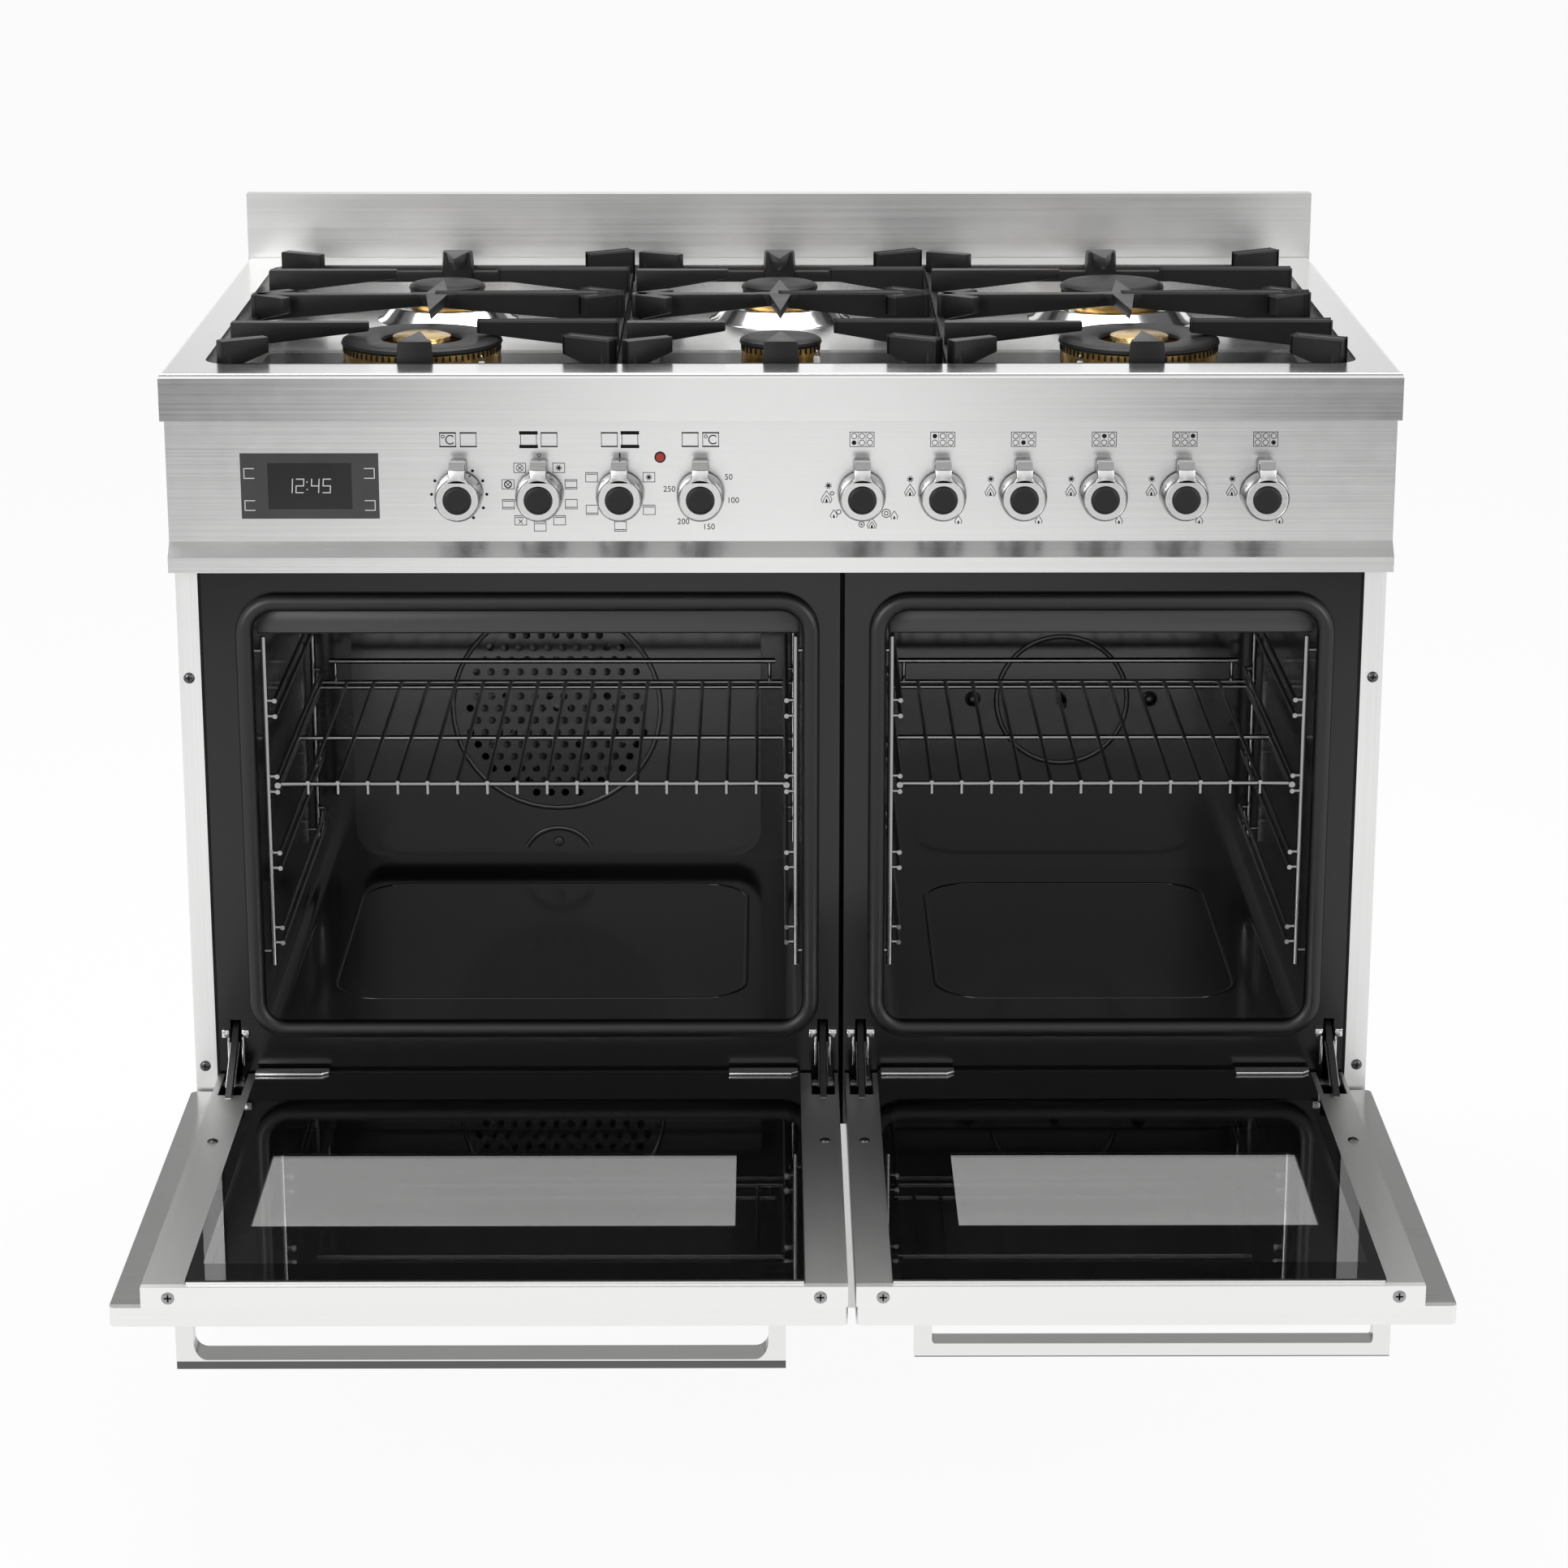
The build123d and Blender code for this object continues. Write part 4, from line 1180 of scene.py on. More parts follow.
@dataclass
class Burner(Maker):
    """One gas burner: brass body with flame slots, cap, and a chrome skirt or a spark plug beside it."""

    name: str
    kind: BurnerKind
    x: float
    depth: float
    skirt: bool = False
    cap_low: float = 848.0
    cap_high: float = 854.6
    hole_radius: float = 33.0

    def build(self) -> list[Piece]:
        """Model the burner.

        Returns:
            The body, the slots, the cap, the plug and, where it has one, the skirt.
        """
        self.floor = self.layout.well_floor
        self.axis_point = Place.at(self.x, self.depth, 0)
        pieces = [self._body(), self._slots(), self._cap()]
        pieces.extend(self._plug())
        if self.skirt:
            pieces.append(self._skirt())
        return pieces

    def _turned(self, name: str, profile: Sequence[Point2], finish: Material, slot: str,
                closed: bool = False) -> Piece:
        """Add a piece turned about the burner's axis.

        Args:
            name: Ending of the piece's name.
            profile: Radius and height of each point.
            finish: The material.
            slot: Not used.
            closed: Whether the profile is a loop.

        Returns:
            The piece.
        """
        sketch = Sketch()
        sketch.spin(profile, self.axis_point, UP, 72, closed)
        piece = sketch.finish(f"{self.name}_{name}", finish, smooth=32.0)
        return piece

    def _body(self) -> Piece:
        """Turn the brass body; a double burner also has an inner crown with a hammered cap.

        Returns:
            The body.
        """
        radius = self.kind.value - 1.5
        floor = self.floor
        outer = [(0, floor), (radius - 7, floor), (radius - 6.5, floor + 6), (radius - 0.5, floor + 9),
                 (radius, floor + 11), (radius - 0.6, self.cap_low)]
        if self.kind is not BurnerKind.DOUBLE:
            return self._turned("body", outer + [(0, self.cap_low)], self.finishes.brass, "brass")
        hole = self.hole_radius
        inner = [(hole + 2, self.cap_low), (hole + 2, floor + 8), (20, floor + 8), (20, self.cap_low),
                 (24, self.cap_low + 0.4), (25, self.cap_low + 2), (24.2, self.cap_high + 0.4),
                 (20, self.cap_high + 1.8), (0, self.cap_high + 2.2)]
        body = self._turned("body", outer + inner[:4] + [(0, self.cap_low)], self.finishes.brass, "brass")
        self._turned("inner_cap", [(0, self.cap_low)] + inner[4:], self.finishes.hammered, "brass")
        return body

    def _slots(self) -> Piece:
        """Add the flame slots round the top of the body as dark boxes, painted shade inside the openings.

        Returns:
            The piece.
        """
        radius = self.kind.value - 1.5
        count = int(radius * 1.1)
        sketch = Sketch()
        shift = Matrix.Translation(Vector((radius - 0.6, 0, self.cap_low - 2.6)) * MM)
        size = Matrix.Diagonal(Vector((1.6, 1.5, 4.6, 1 / MM)) * MM)
        for number in range(count):
            turn = Matrix.Rotation(math.tau * number / count, 4, "Z")
            matrix = Matrix.Translation(self.axis_point) @ turn @ shift @ size
            bmesh.ops.create_cube(sketch.mesh, size=1.0, matrix=matrix)
        # Painted shade: the slots are black ink, standing in for the shade inside them.
        piece = sketch.finish(f"{self.name}_slots", self.finishes.ink)
        return piece

    def _cap(self) -> Piece:
        """Turn the black cap, or the ring cap of a double burner.

        Returns:
            The cap.
        """
        r, low, high = self.kind.value, self.cap_low, self.cap_high
        if self.kind is BurnerKind.DOUBLE:
            hole = self.hole_radius
            loop = [(hole + 1.5, low + 0.2), (hole, low + 2), (hole + 1, high - 2.2), (hole + 4, high - 0.8),
                    (r - 9, high), (r - 4, high - 0.5), (r - 0.9, high - 2.2), (r, low + 2),
                    (r - 1.2, low + 0.2)]
            return self._turned("cap", loop, self.finishes.cap, "burner_cap", True)
        profile = [(0, low), (r - 1.0, low), (r, low + 2), (r - 0.8, high - 2.4), (r - 4, high - 0.7),
                   (r - 10, high), (0, high + 0.4)]
        return self._turned("cap", profile, self.finishes.cap, "burner_cap")

    def _plug(self) -> list[Piece]:
        """Add the white spark plug beside the body, with its steel electrode.

        Returns:
            The plug and the electrode.
        """
        reach = (self.kind.value + 7.8) * math.sqrt(0.5)
        side = -1 if self.x > 0 else 1
        foot = Place.at(self.x + side * reach, self.depth - reach, self.floor)
        sketch = Sketch()
        profile = [(0, 0), (3.3, 0), (3.3, 7), (2.8, 8), (2.8, 19), (2.2, 20.4), (0, 20.4)]
        sketch.spin(profile, foot, UP, 24)
        plug = sketch.finish(f"{self.name}_plug", self.finishes.ceramic)
        tip = Sketch()
        tip.spin([(0, 20), (0.9, 20), (0.9, 25), (0, 25.6)], foot, UP, 12)
        electrode = tip.finish(f"{self.name}_electrode", self.finishes.bright)
        return [plug, electrode]

    def _skirt(self) -> Piece:
        """Turn the dished chrome skirt round the body.

        Returns:
            The piece.
        """
        r, floor = self.kind.value, self.floor
        loop = [(r + 1.5, floor + 0.3), (r + 4, floor + 9), (r + 8, floor + 12), (r + 12, floor + 12.6),
                (r + 15, floor + 11.5), (r + 24, floor + 2.4), (r + 28, floor + 1.0), (r + 29, floor + 0.2)]
        return self._turned("skirt", loop, self.finishes.bright, "chrome_wire", True)


@dataclass
class Hob(Maker):
    """The six burners and the three pan supports."""

    side: float = 300.0
    front: float = 150.0
    rear: float = 430.0

    def build(self) -> None:
        """Model what stands in the hob's well."""
        self._pressings()
        for name in ("left", "centre", "right"):
            PanSupport(self.layout, self.finishes, "pan_support_" + name).build()
        small, large, double = BurnerKind
        burners = (
            ("left_front", double, -self.side, self.front),
            ("right_front", double, self.side, self.front),
            ("left_rear", small, -self.side, self.rear, True),
            ("centre_front", small, 0.0, self.front),
            ("centre_rear", small, 0.0, self.rear, True),
            ("right_rear", large, self.side, self.rear, True),
        )
        for name, *sizes in burners:
            pieces = Burner(self.layout, self.finishes, "burner_" + name, *sizes).build()
            if name == "left_front":
                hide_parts("burner_bodies")
                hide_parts("burner_caps")
                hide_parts("spark_plugs")
            if name == "left_rear":
                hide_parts("burner_skirts")

    def _pressings(self) -> None:
        """Step the well's floor up round the front burners."""
        floor = self.layout.well_floor
        near, far = self.front - 92.0, self.front + 112.0

        def inset_outline(inset: float, radius: float) -> list[Point2]:
            """The pressing's outline, moved inwards."""
            return rounded_outline((left + inset, right - inset), (near + inset, far - inset), radius, 6)

        places = (("left", -460.0, -140.0), ("centre", -124.0, 124.0), ("right", 140.0, 460.0))
        for name, left, right in places:
            steps = Sketch()
            for inset, rise in ((0.0, 0.5), (7.0, 0.9), (13.0, 1.3)):
                steps.prism(inset_outline(inset, 28.0 - inset), (floor - 0.2, floor + rise), 0.3)
            steps.finish(f"well_steps_{name}", self.finishes.rim)
            field = Sketch()
            field.prism(inset_outline(20.0, 12.0), (floor, floor + 1.7), 0.4)
            field.finish(f"well_field_{name}", self.finishes.well)


# Controls


@dataclass
class Knob(Maker):
    """A knob: a dark bright-turned body, a satin plate with a pointer, and a black button in the plate."""

    body: str
    x: float
    rear: float = 8.5
    face: float = -13.0
    base_radius: float = 19.5
    face_radius: float = 16.8
    button_radius: float = 11.0
    pointer_half: float = 6.3
    fold: float = 24.6
    pointer_reach: float = 30.6
    fold_back: float = 5.0

    def build(self) -> None:
        """Model the knob in place of its node."""
        self.z = self.layout.knob_height
        self.centre = Place.at(self.x, 0, self.z)
        knob = self._turned_body()
        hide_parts(self.body)
        self._plate()
        button = Sketch()
        r, top = self.button_radius, -self.face + 0.7
        button.spin([(0, 10.0), (r, 10.0), (r, top - 0.8), (r - 0.8, top - 0.1), (r - 3, top), (0, top)],
                    self.centre, FRONT, 48)
        button.finish(self.body + "_button", self.finishes.button, self.body)

    def _turned_body(self) -> Piece:
        """Turn the body with its stem, and add the rib behind the pointer.

        Returns:
            The piece.
        """
        sketch = Sketch()
        base, rim, rear, face = self.base_radius, self.face_radius, -self.rear, -self.face - 1.8
        profile = [(0, -40.0), (3.5, -40.0), (3.5, rear), (base - 0.8, rear), (base, rear + 0.8),
                   (base - 0.2, 0.0), (rim + 1.6, face - 2.0), (rim + 0.9, face), (0, face)]
        sketch.spin(profile, self.centre, FRONT, 64)
        half, foot, fold = self.pointer_half + 0.3, self.z + 8, self.z + self.fold - 0.6
        left, right = self.x - half, self.x + half
        rib = rounded_outline((left, right), (foot, self.z + self.pointer_reach - 1.0), 2.0, 4)
        sketch.slab(rib, (self.face + self.fold_back + 1.6, self.rear - 1.5), 0.8)
        low = [(left, foot), (right, foot), (right, fold), (left, fold)]
        sketch.slab(low, (self.face + 1.7, self.face + self.fold_back + 2.0), 0.4)
        return sketch.finish(self.body + "_turned", self.finishes.knob_body, self.body, 30.0)

    def _plate(self) -> Piece:
        """Make the face plate: a ring with a tab whose end is folded back.

        Returns:
            The piece.
        """
        sketch = Sketch()
        r, top = self.face_radius, -self.face
        ring = [(self.button_radius + 0.2, top - 1.9), (r - 0.2, top - 1.9), (r, top - 0.6), (r - 0.6, top),
                (self.button_radius + 0.7, top), (self.button_radius + 0.2, top - 0.5)]
        sketch.spin(ring, self.centre, FRONT, 64, True)
        half, face = self.pointer_half, self.face
        foot, fold = self.z + r - 3.0, self.z + self.fold
        tab = [(self.x - half - 2.4, foot), (self.x + half + 2.4, foot), (self.x + half, foot + 3.6),
               (self.x + half, fold), (self.x - half, fold), (self.x - half, foot + 3.6)]
        sketch.slab(tab, (face, face + 1.8), 0.4)
        end = sketch.box((self.x - half, self.x + half), (face + 0.1, face + 2.2),
                         (fold + 0.35, self.z + self.pointer_reach))
        lifted = [vert for vert in end if vert.co.z > (fold + 1.0) * MM]
        bmesh.ops.translate(sketch.mesh, verts=lifted, vec=Vector((0, self.fold_back * MM, 0)))
        return sketch.finish(self.body + "_plate", self.finishes.satin, self.body, 30.0)


@dataclass
class Controls(Maker):
    """The row of ten knobs."""

    def build(self) -> None:
        """Model the knobs."""
        for kind, count, shift in (("oven", 4, -5), ("gas", 6, 0)):
            for number in range(1, count + 1):
                x = (number + shift) * KNOB_PITCH
                Knob(self.layout, self.finishes, f"{kind}_knob_{number}", x).build()


# Fasteners and printed marks


@dataclass
class Screw:
    """A pan-head screw with a cross recess."""

    name: str
    place: Vector
    axis: Vector
    finishes: Finishes
    head: Material
    body: str = COOKER
    radius: float = 4.6
    rise: float = 2.2

    def build(self) -> None:
        """Model the head and its recess."""
        r, rise = self.radius, self.rise
        head = Sketch()
        profile = [(0, -1.0), (r, -1.0), (r, 0.5), (r * 0.9, rise * 0.62), (r * 0.62, rise * 0.94), (0, rise)]
        head.spin(profile, self.place, self.axis, 28)
        head.finish(self.name + "_head", self.head, self.body)
        # Painted shade: the cross recess is a black print that stands in for the shade inside it.
        cross = Sketch()
        turn = UP.rotation_difference(self.axis).to_matrix().to_4x4()
        spot = Matrix.Translation(self.place + self.axis.normalized() * (rise * MM)) @ turn
        for size in ((r * 1.05, r * 0.24, 0.5, 1 / MM), (r * 0.24, r * 1.05, 0.5, 1 / MM)):
            bmesh.ops.create_cube(cross.mesh, size=1.0, matrix=spot @ Matrix.Diagonal(Vector(size) * MM))
        cross.finish(self.name + "_cross", self.finishes.ink, self.body)


class Print(Sketch):
    """Marks printed on an upright face that looks to the front."""

    def __init__(self, face: float, rise: float = 0.14) -> None:
        """Start with no marks.

        Args:
            face: Depth of the face.
            rise: Thickness of the print.
        """
        super().__init__()
        self.depth = (face - rise, face + 0.05)

    def stroke(self, points: Sequence[Point2], width: float = 0.5, closed: bool = False) -> None:
        """Draw a line through (x, z) points.

        Args:
            points: Points of the line.
            width: Width of the line.
            closed: Whether it ends where it starts.
        """
        ends = list(points[1:]) + ([points[0]] if closed else [])
        for (x0, z0), (x1, z1) in zip(points, ends):
            length = math.hypot(x1 - x0, z1 - z0)
            turn = Matrix.Rotation(-math.atan2(z1 - z0, x1 - x0), 4, "Y")
            centre = Place.at((x0 + x1) / 2, sum(self.depth) / 2, (z0 + z1) / 2)
            size = Vector((length + width * 0.8, self.depth[1] - self.depth[0], width, 1 / MM)) * MM
            matrix = Matrix.Translation(centre) @ turn @ Matrix.Diagonal(size)
            bmesh.ops.create_cube(self.mesh, size=1.0, matrix=matrix)

    def frame(self, x: float, z: float, width: float, height: float, line: float = 0.55) -> None:
        """Draw a rectangle.

        Args:
            x: Its middle.
            z: Its middle.
            width: Its width.
            height: Its height.
            line: Width of the line.
        """
        w, h = width / 2, height / 2
        self.stroke([(x - w, z - h), (x + w, z - h), (x + w, z + h), (x - w, z + h)], line, True)

    def arc(self, x: float, z: float, radius: float, line: float = 0.5, span: Point2 = (0.0, 360.0)) -> None:
        """Draw part of a circle.

        Args:
            x: Its middle.
            z: Its middle.
            radius: Its radius.
            line: Width of the line.
            span: First and last angle, in degrees anticlockwise from the right.
        """
        steps = 20
        angles = [math.radians(span[0] + (span[1] - span[0]) * i / steps) for i in range(steps + 1)]
        self.stroke([(x + radius * math.cos(a), z + radius * math.sin(a)) for a in angles], line)

    def dot(self, x: float, z: float, radius: float) -> None:
        """Print a round spot.

        Args:
            x: Its middle.
            z: Its middle.
            radius: Its radius.
        """
        middle = Place.at(x, self.depth[1], z)
        rise = self.depth[1] - self.depth[0]
        self.spin([(0, 0), (radius, 0), (radius, rise), (0, rise)], middle, FRONT, 16)

    def flame(self, x: float, z: float, size: float) -> None:
        """Draw a flame: nested drops that are open at the foot.

        Args:
            x: Its middle.
            z: Its middle.
            size: Its height.
        """
        half = ((-0.34, -0.5), (-0.46, -0.2), (-0.3, 0.12))
        drop = (*half, (0.0, 0.55), *((-px, pz) for px, pz in reversed(half)))
        for share in (1.0, 0.62) if size > 8 else (1.0,):
            base = z - 0.5 * size * (1 - share)
            self.stroke([(x + px * size * share, base + pz * size * share) for px, pz in drop], 0.5)
        wick = ((-0.06, -0.45), (0.0, -0.2), (0.06, -0.45))
        self.stroke([(x + px * size, z + pz * size) for px, pz in wick], 1.0)

    def spark(self, x: float, z: float, size: float) -> None:
        """Draw a star of short rays.

        Args:
            x: Its middle.
            z: Its middle.
            size: Length of a ray.
        """
        for number in range(4):
            angle = math.radians(22 + 45 * number)
            dx, dz = size * math.cos(angle), size * math.sin(angle)
            self.stroke([(x - dx, z - dz), (x + dx, z + dz)], 0.7)


class Heat(Enum):
    """What a mark round an oven knob stands for."""

    FAN = "fan"
    FAN_RING = "fan_ring"
    LIGHT = "light"
    TOP = "top"
    BOTTOM = "bottom"
    BOTH = "both"
    GRILL = "grill"
    GRILL_FAN = "grill_fan"


@dataclass
class ControlPanel(Maker):
    """The marks, the numbers and the clock of the control panel."""

    badge_height: float = 794.0
    lamp_place: Point2 = (-98.0, 779.6)
    ledge_ends: Sequence[Point2] = ((-497.6, -495.6), (495.6, 497.6))
    screen_x: Point2 = (-416.0, -348.0)
    screen_z: Point2 = (737.0, 775.0)
    digit_foot: float = 750.6
    digit_size: Point2 = (6.0, 5.6)

    def build(self) -> None:
        """Print the panel and fit the clock."""
        self.axis = self.layout.knob_height
        self.face = self.layout.panel_face
        marks = Print(self.face)
        self._badges(marks)
        self._oven_marks(marks)
        self._gas_marks(marks)
        marks.finish("panel_marks", self.finishes.ink)
        self._temperatures()
        self._clock()
        lens = Sketch()
        profile = [(3.4, 0), (4.6, 0), (4.6, 0.8), (3.9, 1.3), (3.4, 1.0)]
        x, z = self.lamp_place
        lens.spin(profile, Place.at(x, self.face, z), FRONT, 28, True)
        lens.finish("lamp_bezel", self.finishes.button)
        self._end_caps(self.layout.panel_low)

    def _end_caps(self, low: float) -> None:
        """Close the two ends of the folded ledge.

        Args:
            low: Height of the panel's lower edge.
        """
        caps = Sketch()
        for x in self.ledge_ends:
            caps.loft([(2.0, low + 2.0), (2.0, low + 11.6), (14.0, low + 22.6), (14.0, low + 25.2),
                       (24.8, low + 25.2), (24.8, low + 2.0)], x)
        caps.finish("ledge_ends", self.finishes.panel)

    def _knob_x(self, number: int) -> float:
        """X of a knob, counted from the middle of the panel."""
        return number * KNOB_PITCH

    def _badges(self, marks: Print) -> None:
        """Print the boxes above the knobs.

        Args:
            marks: The print.
        """
        z = self.badge_height
        styles = {-4: ("degree", ""), -3: ("band", ""), -2: ("", "band"), -1: ("", "degree")}
        for number, pair in styles.items():
            for shift, style in zip((-8.3, 8.3), pair):
                x = self._knob_x(number) + shift
                marks.frame(x, z, 12.8, 11.2, 0.5)
                for edge in (-5.6, 5.6):
                    marks.stroke([(x - 6.4, z + edge), (x + 6.4, z + edge)], 2.8 if style == "band" else 1.1)
                if style == "degree":
                    marks.arc(x - 3.9, z + 2.6, 1.2, 0.55)
                    marks.arc(x + 2.0, z, 3.5, 0.85, (45.0, 315.0))
        filled = {1: (0, 0), 2: (0, 1), 3: (1, 0), 4: (1, 1), 5: (2, 1), 6: (2, 0)}
        for number, chosen in filled.items():
            x = self._knob_x(number)
            marks.frame(x, z, 19.6, 11.8, 0.5)
            for column in range(3):
                for row in range(2):
                    spot = (x + (column - 1) * 6.4, z + (row - 0.5) * 5.4)
                    if (column, row) == chosen:
                        marks.dot(*spot, 1.9)
                    else:
                        marks.arc(*spot, 2.2, 0.5)
            for line in (-3.2, 3.2):
                marks.stroke([(x + line, z - 5.6), (x + line, z + 5.6)], 0.3)

    def _beside(self, number: int, across: float, up: float) -> Point2:
        """A point beside a knob's axis."""
        return self._knob_x(number) + across, self.axis + up

    def _oven_marks(self, marks: Print) -> None:
        """Print the dots and the heating marks round the oven knobs.

        Args:
            marks: The print.
        """
        for degrees in (30, 60, 90, 120, 150, 240, 270, 300):
            angle = math.radians(degrees)
            marks.dot(*self._beside(-4, 22.4 * math.sin(angle), 22.4 * math.cos(angle)), 1.25)
        left = ((15.8, 21.8, Heat.LIGHT), (25.5, 8.2, Heat.BOTH), (25.5, -8.2, Heat.BOTTOM),
                (15.8, -21.6, Heat.TOP), (0.0, -26.6, Heat.GRILL), (-15.8, -21.6, Heat.GRILL_FAN),
                (-25.5, -8.2, Heat.BOTH), (-25.5, 8.2, Heat.FAN_RING), (-15.8, 21.8, Heat.FAN))
        right = ((23.4, 14.0, Heat.LIGHT), (23.4, -13.0, Heat.GRILL), (0.0, -26.8, Heat.BOTTOM),
                 (-23.0, -13.0, Heat.BOTTOM), (-23.0, 14.0, Heat.TOP))
        for number, ring in ((-3, left), (-2, right)):
            for across, up, heat in ring:
                self._heat(marks, *self._beside(number, across, up), heat)
        x, z = self._beside(-2, 0.0, 32.0)
        marks.stroke([(x, z - 1.6), (x, z + 1.6)], 1.3)
        marks.arc(*self._beside(-3, 0.0, 32.2), 1.3, 0.5)

    @staticmethod
    def _heat(marks: Print, x: float, z: float, heat: Heat) -> None:
        """Print one heating mark.

        Args:
            marks: The print.
            x: Its middle.
            z: Its middle.
            heat: What it shows.
        """
        marks.frame(x, z, 9.6, 7.8, 0.5)
        for level, kinds in ((2.6, (Heat.TOP, Heat.BOTH)), (-2.6, (Heat.BOTTOM, Heat.BOTH))):
            if heat in kinds:
                marks.stroke([(x - 4, z + level), (x + 4, z + level)], 0.6)
        if heat in (Heat.GRILL, Heat.GRILL_FAN):
            tips = [(x - 4 + i, z + (2.9 if i % 2 else 1.9)) for i in range(9)]
            marks.stroke(tips, 0.45)
        if heat in (Heat.FAN, Heat.FAN_RING, Heat.GRILL_FAN):
            low = z - 1.0 if heat is Heat.GRILL_FAN else z
            for lean in (1.5, -1.5):
                marks.stroke([(x - 1.5, low - lean), (x + 1.5, low + lean)], 0.6)
            if heat is not Heat.GRILL_FAN:
                marks.arc(x, low, 2.8, 0.9 if heat is Heat.FAN_RING else 0.45)
        if heat is Heat.LIGHT:
            marks.dot(x, z, 0.9)
            marks.spark(x, z, 2.4)

    def _gas_marks(self, marks: Print) -> None:
        """Print the flames and sparks round the gas knobs.

        Args:
            marks: The print.
        """
        for number in range(2, 7):
            marks.spark(*self._beside(number, -26.0, 12.3), 2.5)
            marks.flame(*self._beside(number, -26.1, 3.0), 9.6)
            marks.flame(*self._beside(number, 13.4, -21.4), 6.3)
        marks.spark(*self._beside(1, -27.0, 6.9), 2.5)
        flames = ((-28.5, -2.6, 9.6), (-22.5, -16.5, 6.3), (8.4, -24.4, 8.4), (26.6, -17.6, 6.3))
        for across, up, size in flames:
            marks.flame(*self._beside(1, across, up), size)
        rings = ((-24.0, 0.6, 1.4), (-18.6, -14.8, 1.8), (0.0, -25.2, 2.2), (20.0, -16.0, 3.4),
                 (20.0, -16.0, 1.5))
        for across, up, radius in rings:
            marks.arc(*self._beside(1, across, up), radius, 0.6)
        marks.dot(*self._beside(1, 0.0, -25.2), 0.8)

    def _temperatures(self) -> None:
        """Print the numbers round the fourth knob."""
        places = ((22.7, 14.0), (26.2, -5.3), (6.5, -27.2), (-14.2, -22.8), (-25.4, 4.1))
        for text, (across, up) in zip(("50", "100", "150", "200", "250"), places):
            x, z = self._beside(-1, across, up)
            middle = Place.at(x, self.face - PRINT_RISE / 2, z)
            numerals("scale_" + text, text, middle, 4.8, self.finishes.ink)

    def _clock(self) -> None:
        """Fit the screen, its digits and the four touch marks on the display glass."""
        front = low_corner("display_glass").y - Place.front_y
        screen = Sketch()
        screen.box(self.screen_x, (front - PRINT_RISE, front + 0.3), self.screen_z)
        screen.finish("clock_screen", self.finishes.screen)
        marks = Print(front - PRINT_RISE, PRINT_RISE)
        for x, inward in ((-435.0, 1), (-329.5, -1)):
            for z in (766.5, 740.0):
                marks.stroke([(x + inward * 8, z + 4), (x, z + 4), (x, z - 4), (x + inward * 8, z - 4)], 0.7)
        segments = {"1": "bc", "2": "abged", "4": "fgbc", "5": "afgcd"}
        lines = {"a": ((0, 2), (1, 2)), "b": ((1, 2), (1, 1)), "c": ((1, 1), (1, 0)), "d": ((0, 0), (1, 0)),
                 "e": ((0, 1), (0, 0)), "f": ((0, 2), (0, 1)), "g": ((0, 1), (1, 1))}
        wide, high = self.digit_size
        for digit, x in zip("1245", (-402.5, -393.4, -381.0, -371.6)):
            for name in segments[digit]:
                ends = [(x + wide * u + 0.35 * v, self.digit_foot + high * v) for u, v in lines[name]]
                marks.stroke(ends, 0.75)
        for z in (753.2, 759.4):
            marks.dot(-384.2, z, 0.55)
        marks.finish("clock_digits", self.finishes.digits)


# Ovens and doors


class Side(Enum):
    """The two ovens, by name."""

    LEFT = "left"
    RIGHT = "right"


